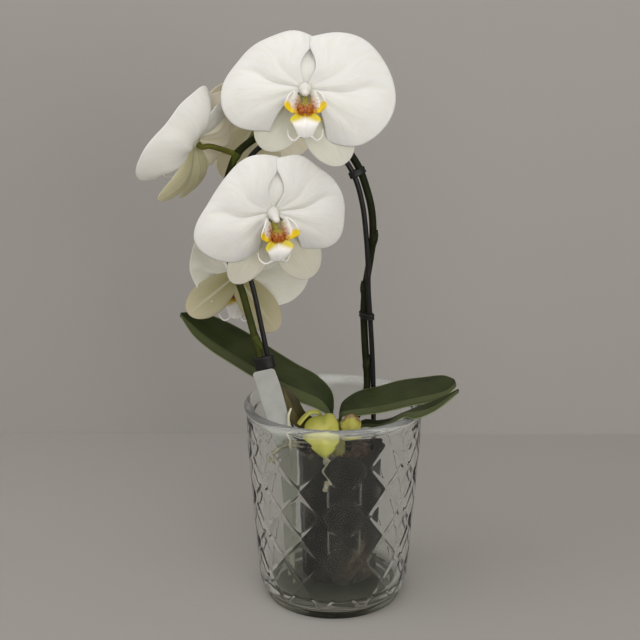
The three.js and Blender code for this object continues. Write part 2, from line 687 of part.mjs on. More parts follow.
function lipSolid() {
  const cushion = new THREE.SphereGeometry(1, 7, 5);
  cushion.scale(5.2, 5, 4.4);
  cushion.translate(0, -12.6, 10);
  const claw = stalk([[0, -11, 9], [0, -8, 7], [0, -4, 3.6]], 2.2, 1.8, 5, 2);
  const seated = toSolid(claw).subtract(toSolid(columnGeometry(CLEARANCE)));
  const tendrils = [-1, 1].map((side) =>
    stalk([[side * 4, -29.6, 10.4], [side * 8.6, -32.6, 6], [side * 12, -30, 3.6], [side * 13, -25, 4.2]], 0.75, 0.5, 4, 5),
  );
  const pieces = [
    cushion,
    blade(lipEarSurface(1), 2, 3, 0.9),
    blade(lipEarSurface(-1), 2, 3, 0.9),
    blade(lipLobeSurface, 4, 4, 1),
    ...tendrils,
  ];
  return oneBody(join(pieces).add(seated));
}

function bloomFrame(bloom) {
  const face = vector(bloom.face).normalize();
  const up = vector(bloom.up);
  up.addScaledVector(face, -up.dot(face)).normalize();
  const right = new THREE.Vector3().crossVectors(up, face);
  const frame = new THREE.Matrix4().makeBasis(right, up, face);
  frame.setPosition(vector(bloom.centre));
  return frame.scale(new THREE.Vector3(bloom.size, bloom.size, bloom.size));
}

const lipGeometry = toGeometry(lipSolid());
for (const [name, bloom] of Object.entries(BLOOMS)) {
  const { leftPetal, rightPetal, sepals } = bloom.form;
  const pieces = [
    columnGeometry(0),
    blade(petalSurface(leftPetal, bloom.sweep), 4, 8, TEPAL_THICKNESS),
    blade(petalSurface(rightPetal, bloom.sweep), 4, 8, TEPAL_THICKNESS),
    ...sepals.map((sepal) => blade(sepalSurface(sepal, bloom.sweep), 4, 4, TEPAL_THICKNESS)),
  ];
  const frame = bloomFrame(bloom);
  addPart(name, toGeometry(oneBody(join(pieces))).applyMatrix4(frame), COLOURS.white, 0.55);
  addPart(name + "_lip", lipGeometry.clone().applyMatrix4(frame), COLOURS.lip, 0.5);
}

// Flower spike: the arched stem, its bracts, and a stalk to the back of each bloom
const STALK_ROUTES = {
  bloom_top: [[-18.7, 4.2, 318.8], [-17, -2, 328], [-17.5, -12, 338]],
  bloom_middle: [[-71.2, 4, 272], [-64, -4, 276], [-50, -14, 274]],
  bloom_left: [[-63.6, 4, 301.6], [-75, -3.6, 306.8]],
  bloom_back: [[-54.6, 4.2, 308.4], [-51, 16, 314], [-52, 38, 316]],
  bloom_low: [[-70.6, 3.5, 244], [-68.6, 10, 232], [-67, 21, 221]],
};
const BRACTS = [
  { at: [22.2, 17.2, 156], out: [1, -0.3, 0] },
  { at: [21, 13, 208], out: [-1, -0.3, 0] },
  { at: [25, 9, 243], out: [1, -0.5, 0] },
  { at: [-52, 1, 182], out: [1, -0.4, 0] },
  { at: [-62, 4, 301.4], out: [0.2, -1, 0.2] },
];
const BRACT_LENGTH = 9;

function smoothRoute(route) {
  return new THREE.CatmullRomCurve3(route.map(vector), false, "centripetal");
}

// How far along a curve, from 0 to 1, it comes nearest to a point
function nearestOn(curve, point) {
  const samples = Array.from({ length: 401 }, (_, k) => k / 400);
  const gap = (u) => curve.getPointAt(u).distanceTo(point);
  return samples.reduce((best, u) => (gap(u) < gap(best) ? u : best));
}

function bractGeometry({ at, out }) {
  const curve = smoothRoute(SPIKE_ROUTE);
  const place = nearestOn(curve, vector(at));
  const start = curve.getPointAt(place);
  const tip = curve.getPointAt(place + BRACT_LENGTH / curve.getLength());
  const away = vector(out).normalize();
  tip.addScaledVector(away, 3.2);
  const middle = start.clone().lerp(tip, 0.5).addScaledVector(away, 0.3);
  return stalk([start, middle, tip].map((p) => p.toArray()), SPIKE_RADIUS + 0.7, 0.5, 5, 2);
}

function spikeSolid() {
  const stalks = Object.entries(STALK_ROUTES).map(([name, route]) => {
    const bloom = BLOOMS[name];
    const face = vector(bloom.face).normalize();
    const end = vector(bloom.centre).addScaledVector(face, -(4 + CLEARANCE) * bloom.size - 0.2);
    const before = end.clone().addScaledVector(face, -5);
    return stalk([...route, before.toArray(), end.toArray()], STALK_RADIUS + 0.3, STALK_RADIUS, 5, 8);
  });
  return oneBody(join([spikeStalk(SPIKE_RADIUS), ...stalks, ...BRACTS.map(bractGeometry)]));
}

addPart("flower_spike", toGeometry(spikeSolid()), COLOURS.stem, 0.5);

// Clip and ties: short bands round the spike and the wire, bored clear of both
function band(near, height, margin) {
  const spike = smoothRoute(SPIKE_ROUTE);
  const wire = smoothRoute(WIRE_ROUTE);
  const spikeAt = nearestOn(spike, vector(near));
  const onSpike = spike.getPointAt(spikeAt);
  const onWire = wire.getPointAt(nearestOn(wire, onSpike));
  const across = onWire.clone().sub(onSpike);
  const axis = spike.getTangentAt(spikeAt);
  const side = new THREE.Vector3().crossVectors(axis, across).normalize();
  const long = new THREE.Vector3().crossVectors(side, axis).normalize();
  const outer = new THREE.CylinderGeometry(1, 1, height, 12);
  outer.rotateX(Math.PI / 2);
  outer.scale(across.length() / 2 + SPIKE_RADIUS + margin, SPIKE_RADIUS + margin, 1);
  const place = new THREE.Matrix4().makeBasis(long, side, axis);
  place.setPosition(onSpike.lerp(onWire, 0.46));
  outer.applyMatrix4(place);
  return toGeometry(cut(outer, [spikeStalk(SPIKE_RADIUS + CLEARANCE), wireStalk(WIRE_RADIUS + CLEARANCE)]));
}

addPart("clip_left", band([-48.2, 0.2, 163.6], 9, 2.2), COLOURS.black, 0.4);
addPart("tie_right", band([20, 15, 193], 4, 1.6), COLOURS.black, 0.5);
addPart("tie_top", band([16.6, 5.6, 290], 7, 1.4), COLOURS.black, 0.5);

export default root;
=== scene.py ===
import math

import bpy
import numpy as np
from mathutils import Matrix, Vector


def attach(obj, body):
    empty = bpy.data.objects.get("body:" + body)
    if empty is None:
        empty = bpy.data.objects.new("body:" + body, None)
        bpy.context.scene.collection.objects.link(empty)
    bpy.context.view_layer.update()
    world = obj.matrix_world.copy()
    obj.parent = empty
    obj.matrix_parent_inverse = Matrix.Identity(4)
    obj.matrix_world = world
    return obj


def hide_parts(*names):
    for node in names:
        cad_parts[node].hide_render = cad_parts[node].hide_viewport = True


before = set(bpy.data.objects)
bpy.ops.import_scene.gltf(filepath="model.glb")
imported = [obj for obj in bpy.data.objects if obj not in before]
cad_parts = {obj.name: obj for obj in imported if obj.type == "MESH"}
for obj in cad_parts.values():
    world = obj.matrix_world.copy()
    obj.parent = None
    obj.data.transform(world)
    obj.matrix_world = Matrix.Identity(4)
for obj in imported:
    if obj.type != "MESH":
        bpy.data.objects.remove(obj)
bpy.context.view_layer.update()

# Vase
# A heavy drinking-glass vase, pressed in one piece from clear, faintly green glass. Its outside carries
# staggered diamonds between a smooth foot ring and a plain collar, and its lip is rolled and fire-polished.
MM = 0.001
VASE_HEIGHT = 137.3
FOOT_RADIUS = 46.1
VASE_FLOOR = 11.0
VASE_WALL = 4.2
GROOVE_RADIUS = 47.45
VASE_TAPER = 0.0752
LIP_RADIUS = 60.0
LIP_ROLL = 2.6
FIRST_ROW = 8.8
DIAMOND_HEIGHT = 33.7
DIAMONDS_AROUND = 12
HALF_ROWS = 7
DIAMOND_TURN = math.radians(-38.5)
DIAMOND_RISE = 1.5
GROOVE_DEPTH = 1.05
GROOVE_SHARE = 0.22
STEPS_PER_DIAMOND = 36
FLOOR_BEND = 4
FOOT_HOLLOW = ((10, 1.6), (25, 1.6), (36, 1.6), (39.4, 1.3), (40.6, 0.5), (41.6, 0.05))
FOOT_RING = ((-3.2, 0), (-2.2, 0.1), (-0.9, 0), (-0.2, 0.35), (0.2, 1.2), (0.5, 3), (0.7, 5), (0.7, 6.8))


def put_in_scene(name, data):
    """A new object of the scene."""
    made = bpy.data.objects.new(name, data)
    bpy.context.scene.collection.objects.link(made)
    return made


def new_piece(name, points, faces, finish, uv=None, tint=None):
    """A smooth mesh from points in millimetres, with a UV pair and a colour and mark for each if given."""
    mesh = bpy.data.meshes.new(name)
    mesh.from_pydata((np.asarray(points, float) * MM).tolist(), [], faces)
    mesh.polygons.foreach_set("use_smooth", [True] * len(mesh.polygons))
    corners = np.zeros(len(mesh.loops), int)
    mesh.loops.foreach_get("vertex_index", corners)
    if uv is not None:
        mesh.uv_layers.new(name="along_across").data.foreach_set("uv", np.asarray(uv)[corners].ravel())
    if tint is not None:
        layer = mesh.color_attributes.new("tint", "FLOAT_COLOR", "POINT")
        layer.data.foreach_set("color", np.asarray(tint).ravel())
    mesh.materials.append(finish)
    mesh.update()
    return put_in_scene(name, mesh)


def put(value, socket):
    """Links a node's output to an input, or sets a plain value on it. A colour is red, green and blue."""
    if isinstance(value, bpy.types.NodeSocket):
        socket.id_data.links.new(value, socket)
    elif socket.type == "RGBA":
        socket.default_value = (*value, 1)
    else:
        socket.default_value = value


def feed(node, **inputs):
    """Links or sets a node's inputs by their names."""
    for name, value in inputs.items():
        put(value, node.inputs[name.replace("_", " ")])


def new_finish(name, **settings):
    """A material, its node tree and its shader, with plain settings put straight on the shader's sockets."""
    finish = bpy.data.materials.new(name)
    finish.use_nodes = True
    shader = finish.node_tree.nodes["Principled BSDF"]
    feed(shader, **settings)
    return finish, finish.node_tree, shader


def add_node(tree, kind, settings=(), **inputs):
    """A node with its settings made and its inputs linked or set."""
    made = tree.nodes.new(kind)
    for setting, value in dict(settings).items():
        setattr(made, setting, value)
    feed(made, **inputs)
    return made


def lay_over(finish, share, other):
    """Mixes another shader over a finish's own, by a share from 0 to 1."""
    tree = finish.node_tree
    both = add_node(tree, "ShaderNodeMixShader", Fac=share)
    put(tree.nodes["Principled BSDF"].outputs[0], both.inputs[1])
    put(other.outputs[0], both.inputs[2])
    put(both.outputs[0], tree.nodes["Material Output"].inputs["Surface"])


def let_lamps_through(finish, colour):
    """Lets lamp light reach what stands behind a see-through wall, tinted by that wall."""
    shadow = add_node(finish.node_tree, "ShaderNodeLightPath").outputs["Is Shadow Ray"]
    lay_over(finish, shadow, add_node(finish.node_tree, "ShaderNodeBsdfTransparent", Color=colour))


def parts_of(tree, vector):
    """The three numbers in a vector."""
    return add_node(tree, "ShaderNodeSeparateXYZ", Vector=vector).outputs


def noise_on(tree, place, scale, detail=3.0, roughness=0.5, stretch=(1, 1, 1), twist=0.0):
    """Noise over given coordinates, stretched or twisted if asked."""
    mapping = add_node(tree, "ShaderNodeMapping", Vector=place, Scale=stretch)
    noise = add_node(tree, "ShaderNodeTexNoise", Vector=mapping.outputs[0], Scale=scale, Detail=detail,
                     Roughness=roughness, Distortion=twist)
    return noise.outputs["Fac"]


def object_noise(tree, scale, detail=3.0, roughness=0.5, stretch=(1, 1, 1)):
    """Noise on the piece's own coordinates, in waves per metre, stretched if asked."""
    place = add_node(tree, "ShaderNodeTexCoord").outputs["Object"]
    return noise_on(tree, place, scale, detail, roughness, stretch)


def ramp(tree, value, *stops):
    """A value spread over colours or greys at given stops."""
    made = add_node(tree, "ShaderNodeValToRGB", Fac=value)
    while len(made.color_ramp.elements) < len(stops):
        made.color_ramp.elements.new(0.5)
    for element, (at, colour) in zip(made.color_ramp.elements, stops):
        element.position = at
        element.color = (*(colour if isinstance(colour, tuple) else (colour,) * 3), 1)
    return made.outputs[0]


def bump(tree, shader, height, strength, depth):
    """Raises the surface by a height pattern, its depth in metres."""
    relief = add_node(tree, "ShaderNodeBump", Height=height, Strength=strength, Distance=depth)
    feed(shader, Normal=relief.outputs[0])


def start_tree(name, sizes):
    """A Geometry Nodes tree with a named number input for each size."""
    tree = bpy.data.node_groups.new(name, "GeometryNodeTree")
    tree.interface.new_socket("Geometry", in_out="INPUT", socket_type="NodeSocketGeometry")
    tree.interface.new_socket("Geometry", in_out="OUTPUT", socket_type="NodeSocketGeometry")
    for size in sizes:
        tree.interface.new_socket(size, in_out="INPUT", socket_type="NodeSocketFloat")
    return tree, tree.nodes.new("NodeGroupInput"), tree.nodes.new("NodeGroupOutput")


def end_tree(tree, result, geometry, finish):
    """Ends a tree in real geometry that wears its finish."""
    real = add_node(tree, "GeometryNodeRealizeInstances", Geometry=geometry)
    dressed = add_node(tree, "GeometryNodeSetMaterial", Geometry=real.outputs[0], Material=finish)
    put(dressed.outputs[0], result.inputs[0])


def run_tree(piece, tree, sizes):
    """Runs a tree on a piece and leaves the result as its plain mesh."""
    modifier = piece.modifiers.new(tree.name, "NODES")
    modifier.node_group = tree
    for item in tree.interface.items_tree:
        if item.in_out == "INPUT" and item.name in sizes:
            modifier[item.identifier] = sizes[item.name]
    graph = bpy.context.evaluated_depsgraph_get()
    mesh = bpy.data.meshes.new_from_object(piece.evaluated_get(graph), preserve_all_data_layers=True,
                                           depsgraph=graph)
    piece.modifiers.clear()
    piece.data = mesh


def number(tree, operation, first, second=0.0):
    """One step of arithmetic in a tree."""
    made = add_node(tree, "ShaderNodeMath", {"operation": operation})
    put(first, made.inputs[0])
    put(second, made.inputs[1])
    return made.outputs[0]


def tube_faces(rows, count):
    """Faces between rings of points, closed at both ends by two last points."""
    faces = []
    for row in range(rows - 1):
        for k in range(count):
            a, b = row * count + k, row * count + (k + 1) % count
            faces.append((a, b, b + count, a + count))
    last = (rows - 1) * count
    for k in range(count):
        faces.append((last + count, (k + 1) % count, k))
        faces.append((last + count + 1, last + k, last + (k + 1) % count))
    return faces


def turned(profile, count, start=0.0):
    """Points and faces of a profile of (radius, height) turned about the upright axis, closed at its ends."""
    turn = start + np.arange(count) * (2 * math.pi / count)
    rings = [np.c_[r * np.sin(turn), -r * np.cos(turn), np.full(count, z)] for r, z in profile]
    points = np.vstack(rings + [[[0, 0, profile[0][1]]], [[0, 0, profile[-1][1]]]])
    return points, tube_faces(len(profile), count)


def keep(piece, node):
    """Stands a finished piece in for its solid."""
    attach(piece, "root")
    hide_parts(node)


band_top = FIRST_ROW + HALF_ROWS * DIAMOND_HEIGHT / 2
foot = [*FOOT_HOLLOW, *((FOOT_RADIUS + reach, z) for reach, z in FOOT_RING)]
levels = np.arange(HALF_ROWS * STEPS_PER_DIAMOND // 2 + 1)
outside = [(GROOVE_RADIUS + DIAMOND_RISE + VASE_TAPER * z, z)
           for z in FIRST_ROW + levels * DIAMOND_HEIGHT / STEPS_PER_DIAMOND]
collar = [(GROOVE_RADIUS + VASE_TAPER * z + 0.9, z) for z in (band_top + 1.6, band_top + 3)]
lip_middle = LIP_RADIUS - LIP_ROLL
lip = [(lip_middle + LIP_ROLL * math.cos(t), VASE_HEIGHT - LIP_ROLL + LIP_ROLL * math.sin(t))
       for t in np.radians(np.arange(-60, 186, 12))]
inside = [(GROOVE_RADIUS + VASE_TAPER * z - VASE_WALL, z) for z in np.arange(130, VASE_FLOOR + 6, -3.0)]
inner_foot = GROOVE_RADIUS + VASE_TAPER * VASE_FLOOR - VASE_WALL
inside += [(inner_foot + FLOOR_BEND * (math.cos(t) - 1), VASE_FLOOR + FLOOR_BEND * (1 - math.sin(t)))
           for t in np.radians([15, 40, 65, 90])]
inside += [(r, VASE_FLOOR) for r in (36, 25, 10)]
vase_profile = foot + outside + collar + lip + inside
around = STEPS_PER_DIAMOND * DIAMONDS_AROUND
points, faces = turned(vase_profile, around, DIAMOND_TURN)

glass, tree, shader = new_finish("pressed_glass", IOR=1.3, Roughness=0.03)
bump(tree, shader, object_noise(tree, 55, 2), 0.2, 0.001)
height = parts_of(tree, add_node(tree, "ShaderNodeTexCoord").outputs["Object"])[2]
up_foot = number(tree, "DIVIDE", height, 2 * VASE_FLOOR * MM)
up_vase = number(tree, "DIVIDE", height, VASE_HEIGHT * MM)
# Painted shade and reflection: the glass is painted dark olive at its thick foot, partly the tint of thick
# glass and partly the shaded table and the dark pot seen in it. At the lip it is a little less see-through, a
# painted highlight for the light that the rolled rim gathers.
feed(shader, Base_Color=ramp(tree, up_foot, (0.2, (0.24, 0.25, 0.19)), (0.66, (0.98, 0.995, 0.982))),
     Transmission_Weight=ramp(tree, up_vase, (0.945, 0.996), (0.97, 0.89)))
let_lamps_through(glass, ramp(tree, up_foot, (0.3, (0.12, 0.12, 0.1)), (0.8, (0.87, 0.9, 0.87))))

vase = new_piece("vase_glass", points, faces, glass)
pressed = vase.data.attributes.new("pressed", "FLOAT", "POINT")
rows = np.arange(len(vase_profile))
on_outside = (rows >= len(foot)) & (rows < len(foot) + len(outside))
pressed.data.foreach_set("value", np.r_[np.repeat(on_outside, around), 0, 0].astype(float))

SIZES = ("Diamonds around", "Diamond height", "First row", "Half rows", "Turn", "Groove depth",
         "Groove share")
tree, given, result = start_tree("Pressed diamonds", SIZES)
size = given.outputs
x, y, z = parts_of(tree, tree.nodes.new("GeometryNodeInputPosition").outputs[0])
turn = number(tree, "ARCTAN2", x, number(tree, "MULTIPLY", y, -1))
turn = number(tree, "SUBTRACT", turn, size["Turn"])
across = number(tree, "MULTIPLY", number(tree, "DIVIDE", turn, math.pi), size["Diamonds around"])
half_height = number(tree, "MULTIPLY", size["Diamond height"], 0.5)
up = number(tree, "DIVIDE", number(tree, "SUBTRACT", z, size["First row"]), half_height)
slopes = []
for operation in ("SUBTRACT", "ADD"):
    slope = number(tree, "MULTIPLY", number(tree, operation, up, across), math.pi / 2)
    slopes.append(number(tree, "ABSOLUTE", number(tree, "SINE", slope)))
pillow = number(tree, "DIVIDE", number(tree, "MULTIPLY", *slopes), size["Groove share"])
pillow = number(tree, "POWER", number(tree, "MINIMUM", pillow, 1), 0.55)
from_top = number(tree, "MULTIPLY", number(tree, "SUBTRACT", size["Half rows"], up), 0.8)
ends = number(tree, "MINIMUM", number(tree, "MULTIPLY", up, 3), from_top)
fade = number(tree, "MINIMUM", number(tree, "MAXIMUM", ends, 0), 1)
mark = add_node(tree, "GeometryNodeInputNamedAttribute", {"data_type": "FLOAT"}, Name="pressed").outputs[0]
depth = number(tree, "MULTIPLY", size["Groove depth"], mark)
rise = number(tree, "MULTIPLY", number(tree, "MULTIPLY", pillow, fade), depth)
reach = number(tree, "SQRT", number(tree, "ADD", number(tree, "POWER", x, 2), number(tree, "POWER", y, 2)))
reach = number(tree, "MAXIMUM", reach, 0.001)
outward = tree.nodes.new("ShaderNodeCombineXYZ")
for part, socket in zip((x, y), outward.inputs):
    put(number(tree, "MULTIPLY", number(tree, "DIVIDE", part, reach), rise), socket)
moved = add_node(tree, "GeometryNodeSetPosition", Geometry=given.outputs[0], Offset=outward.outputs[0])
end_tree(tree, result, moved.outputs[0], glass)
run_tree(vase, tree, {"Diamonds around": DIAMONDS_AROUND, "Diamond height": DIAMOND_HEIGHT * MM,
                      "First row": FIRST_ROW * MM, "Half rows": HALF_ROWS, "Turn": DIAMOND_TURN,
                      "Groove depth": GROOVE_DEPTH * MM, "Groove share": GROOVE_SHARE})
keep(vase, "vase")

# Grow pot
# A slim blow-moulded tub of dark, see-through plastic that stands inside the vase. Upright ribs stiffen
# its wall, and its rim is turned out.
POT_CENTRE = (4.4, 8.0)
POT_BOTTOM = 11.3
POT_TOP = 105.0
POT_FOOT_RADIUS = 26.0
POT_BODY_RADIUS = 28.9
POT_RIM_RADIUS = 30.7
POT_WALL = 0.9
POT_RIBS = 8
POT_TURN = math.radians(5.5)
RIB_WIDTH = 0.035
RIB_RISE = 0.7


def bell(value, middle, width):
    """A smooth hump of height 1."""
    return np.exp(-(((value - middle) / width) ** 2))


def mix_colours(tree, share, first, second, blend="MIX"):
    """One colour going over into another by a share from 0 to 1, or blended with it in another way."""
    made = add_node(tree, "ShaderNodeMix", {"data_type": "RGBA", "blend_type": blend})
    for socket, value in ((made.inputs[0], share), (made.inputs[6], first), (made.inputs[7], second)):
        put(value, socket)
    return made.outputs[2]


def own_tint(tree):
    """The colour and the mark that a piece's points carry."""
    return add_node(tree, "ShaderNodeVertexColor", {"layer_name": "tint"}).outputs


shoulder = POT_TOP - 4.5
heights = np.linspace(POT_BOTTOM + 1, shoulder, 40)
wall = [(np.interp(z, (POT_BOTTOM + 1, shoulder), (POT_FOOT_RADIUS, POT_BODY_RADIUS)), z) for z in heights]
pot_profile = [(12, POT_BOTTOM), (POT_FOOT_RADIUS - 3, POT_BOTTOM), (POT_FOOT_RADIUS - 0.6, POT_BOTTOM + 0.2)]
pot_profile += wall
pot_profile += [(POT_RIM_RADIUS - 0.7, shoulder + 0.3), (POT_RIM_RADIUS - 0.1, shoulder + 0.8)]
pot_profile += [(POT_RIM_RADIUS, POT_TOP - 1), (POT_RIM_RADIUS - 0.3, POT_TOP),
                (POT_RIM_RADIUS - 1.2, POT_TOP)]
pot_profile += [(POT_BODY_RADIUS - POT_WALL + 0.2, POT_TOP - 1.6)]
pot_profile += [(r - POT_WALL, z) for r, z in wall[::-1]] + [(12, POT_BOTTOM + 1.2)]
points, faces = turned(pot_profile, 240)
turn = np.arctan2(points[:, 1], points[:, 0]) - POT_TURN
ribbed = np.interp(points[:, 2], (POT_BOTTOM + 4, POT_BOTTOM + 8, shoulder - 4, shoulder), (0, 1, 1, 0))
rib = bell((turn * POT_RIBS / (2 * math.pi)) % 1, 0.5, RIB_WIDTH) * ribbed
points[:, :2] *= (1 + RIB_RISE * rib / POT_BODY_RADIUS)[:, None]
at_rim = np.clip((points[:, 2] - shoulder + 2) / 6, 0, 1)
points[:, 2] += at_rim * (0.9 * np.sin(5 * turn + 1) * np.sin(13 * turn) - 0.9)
points[:, :2] *= (1 - at_rim * 0.02 * (1 + np.sin(7 * turn) * np.sin(3 * turn + 2)))[:, None]
points[:, :2] += POT_CENTRE
tint = np.c_[np.tile((0.05, 0.05, 0.042), (len(points), 1)), rib]

smoky, tree, shader = new_finish("smoky_plastic", IOR=1.2, Roughness=0.12)
cloud = object_noise(tree, 45, 5, 0.6, (1, 1, 0.4))
colour = ramp(tree, cloud, (0.4, (0.022, 0.022, 0.017)), (0.58, (0.11, 0.095, 0.07)),
              (0.72, (0.5, 0.4, 0.27)))
mark = own_tint(tree)["Alpha"]
# The ribs are painted paler and are less see-through than the rest of the wall.
rib_transmission = number(tree, "SUBTRACT", 0.82, number(tree, "MULTIPLY", mark, 0.3))
feed(shader, Base_Color=mix_colours(tree, mark, colour, (0.22, 0.22, 0.19)), Transmission_Weight=rib_transmission)
bump(tree, shader, object_noise(tree, 120, 2, stretch=(1, 1, 0.2)), 0.2, 0.0006)
let_lamps_through(smoky, (0.42, 0.4, 0.36))
keep(new_piece("grow_pot", points, faces, smoky, tint=tint), "nursery_pot")

# Bark
# Damp pine bark chips, packed round the roots. They show through the pot's wall and on top of it.
BARK_TOP = 97.0
CHIP_SIZE = 8.5
CHIP_SHARES = (1.0, 0.72, 0.34)
CHIP_RANGE = (0.55, 1.15)
CHIP_LEAN = 0.35
CHIPS_PER_SQUARE_METRE = 42000
CHIPS_TOP = 104
PLUG_INSET = 5.2

plug_profile = [(10, POT_BOTTOM + 3), (POT_FOOT_RADIUS - PLUG_INSET - 1, POT_BOTTOM + 4)]
plug_profile += [(np.interp(z, (POT_BOTTOM, shoulder), (POT_FOOT_RADIUS, POT_BODY_RADIUS)) - PLUG_INSET, z)
                 for z in np.linspace(POT_BOTTOM + 8, BARK_TOP - 4, 16)]
plug_profile += [(18, BARK_TOP - 2), (9, BARK_TOP - 1.6)]
points, faces = turned(plug_profile, 40)
points[:, :2] += POT_CENTRE

bark, tree, shader = new_finish("pine_bark", Roughness=0.88)
grain = object_noise(tree, 260, 6, 0.65)
patch = object_noise(tree, 70, 2)
dark = ramp(tree, grain, (0.3, (0.02, 0.012, 0.008)), (0.6, (0.09, 0.045, 0.025)), (0.8, (0.2, 0.11, 0.06)))
mossy = mix_colours(tree, ramp(tree, patch, (0.45, 0.0), (0.7, 0.7)), dark, (0.1, 0.075, 0.045))
feed(shader, Base_Color=mossy)
bump(tree, shader, grain, 0.8, 0.0015)
bark_mix = new_piece("bark_chips", points, faces, bark)

tree, given, result = start_tree("Scattered chips", ("Chip size", "Chips per square metre"))
size = given.outputs
spots = add_node(tree, "GeometryNodeDistributePointsOnFaces", Mesh=given.outputs[0], Seed=11,
                 Density=size["Chips per square metre"])
chip = add_node(tree, "GeometryNodeMeshCube", Vertices_X=3, Vertices_Y=3, Vertices_Z=2)
box = tree.nodes.new("ShaderNodeCombineXYZ")
for share, socket in zip(CHIP_SHARES, box.inputs):
    put(number(tree, "MULTIPLY", size["Chip size"], share), socket)
put(box.outputs[0], chip.inputs["Size"])
turns = add_node(tree, "FunctionNodeRandomValue", {"data_type": "FLOAT_VECTOR"})
put((-CHIP_LEAN, -CHIP_LEAN, 0), turns.inputs[0])
put((CHIP_LEAN, CHIP_LEAN, 6.28), turns.inputs[1])
lie = add_node(tree, "FunctionNodeRotateRotation", {"rotation_space": "LOCAL"},
               Rotation=spots.outputs["Rotation"])
put(turns.outputs[0], lie.inputs[1])
sizes = add_node(tree, "FunctionNodeRandomValue", {"data_type": "FLOAT"})
put(CHIP_RANGE[0], sizes.inputs[2])
put(CHIP_RANGE[1], sizes.inputs[3])
chips = add_node(tree, "GeometryNodeInstanceOnPoints", Points=spots.outputs[0], Instance=chip.outputs[0],
                 Rotation=lie.outputs[0], Scale=sizes.outputs[1])
loose = add_node(tree, "GeometryNodeRealizeInstances", Geometry=chips.outputs[0])
ragged = add_node(tree, "ShaderNodeTexNoise", {"noise_dimensions": "3D"}, Scale=190.0, Detail=2.0)
centred = add_node(tree, "ShaderNodeVectorMath", {"operation": "SUBTRACT"})
put(ragged.outputs["Color"], centred.inputs[0])
put((0.5, 0.5, 0.5), centred.inputs[1])
shaken = add_node(tree, "ShaderNodeVectorMath", {"operation": "SCALE"}, Scale=0.005)
put(centred.outputs[0], shaken.inputs[0])
torn = add_node(tree, "GeometryNodeSetPosition", Geometry=loose.outputs[0], Offset=shaken.outputs[0])
both = tree.nodes.new("GeometryNodeJoinGeometry")
put(torn.outputs[0], both.inputs[0])
put(given.outputs[0], both.inputs[0])
end_tree(tree, result, both.outputs[0], bark)
run_tree(bark_mix, tree, {"Chip size": CHIP_SIZE * MM, "Chips per square metre": CHIPS_PER_SQUARE_METRE})
chip_points = np.zeros(len(bark_mix.data.vertices) * 3, np.float32)
bark_mix.data.vertices.foreach_get("co", chip_points)
chip_points = chip_points.reshape(-1, 3)
from_axis = chip_points[:, :2] - np.array(POT_CENTRE) * MM
radius = np.hypot(*from_axis.T)
room = np.interp(chip_points[:, 2] / MM, (POT_BOTTOM, shoulder), (POT_FOOT_RADIUS, POT_BODY_RADIUS))
room = room - POT_WALL - 0.5
shrink = np.minimum(1, room * MM / np.maximum(radius, 1e-6))
chip_points[:, :2] = np.array(POT_CENTRE) * MM + from_axis * shrink[:, None]
chip_points[:, 2] = np.clip(chip_points[:, 2], (POT_BOTTOM + 2) * MM, CHIPS_TOP * MM)
bark_mix.data.vertices.foreach_set("co", chip_points.ravel())
bark_mix.data.update()
keep(bark_mix, "bark_mix")

# Crown and air roots
# The short upright stem that the leaves clasp, with two silvery air roots that climbed out of the bark
# and hang between the pot and the glass.
CROWN_ROUTE = [(3, 3.5, 58), (3, 3.5, 90), (3, 3.5, 121.3)]
ROOT_FRONT_ROUTE = [(-2.4, -8, 90), (-2.4, -10.4, 102), (-3, -17, 109.6), (-4.6, -24.4, 110.6),
                    (-5.6, -26.6, 104), (-6, -26.6, 96), (-4.8, -26.2, 90), (-6, -25.8, 84)]
ROOT_LEFT_ROUTE = [(-8, -2, 90), (-10, -5, 102), (-16.6, -11.6, 109.6), (-25, -14.2, 110.8),
                   (-34, -14.4, 109.6), (-39.4, -16, 106), (-43, -17.6, 100.4)]


def smooth_route(points, count):
    """Evenly spaced points on a centripetal spline through a route's points."""
    p = np.asarray(points, float)
    p = np.vstack([2 * p[0] - p[1], p, 2 * p[-1] - p[-2]])
    spans = np.sqrt(np.linalg.norm(np.diff(p, axis=0), axis=1))
    fine = []
    for i in range(1, len(p) - 2):
        before, here, after = spans[i - 1:i + 2]
        a, b, c, d = p[i - 1:i + 3]
        start = ((b - a) / before - (c - a) / (before + here) + (c - b) / here) * here
        end = ((c - b) / here - (d - b) / (here + after) + (d - c) / after) * here
        t = np.linspace(0, 1, 40, endpoint=i == len(p) - 3)[:, None]
        square = (3 * c - 3 * b - 2 * start - end) * t**2
        cube = (2 * b - 2 * c + start + end) * t**3
        fine.append(b + start * t + square + cube)
    fine = np.vstack(fine)
    run = np.r_[0, np.cumsum(np.linalg.norm(np.diff(fine, axis=0), axis=1))]
    even = np.linspace(0, run[-1], count)
    return np.c_[[np.interp(even, run, fine[:, axis]) for axis in range(3)]].T


def round_stem(route, radii, sides):
    """Points, faces and UV pairs of a stem of changing radius along evenly spaced points, with domed ends."""
    along = np.gradient(route, axis=0)
    along /= np.linalg.norm(along, axis=1)[:, None]
    side = np.cross(along[0], (0.31, 0.9, 0.2))
    side /= np.linalg.norm(side)
    turn = np.arange(sides) * (2 * math.pi / sides)
    rings = []
    for centre, axis, radius in zip(route, along, radii):
        side = side - axis * side.dot(axis)
        side /= np.linalg.norm(side)
        other = np.cross(axis, side)
        rings.append(centre + radius * (np.outer(np.cos(turn), side) + np.outer(np.sin(turn), other)))
    ends = [[route[0] - along[0] * radii[0] * 0.3], [route[-1] + along[-1] * radii[-1] * 0.3]]
    run = np.repeat(np.linspace(0, 1, len(route)), sides)
    uv = np.c_[np.r_[run, 0, 1], np.r_[np.tile(turn / (2 * math.pi), len(route)), 0, 0]]
    return np.vstack(rings + ends), tube_faces(len(route), sides), uv


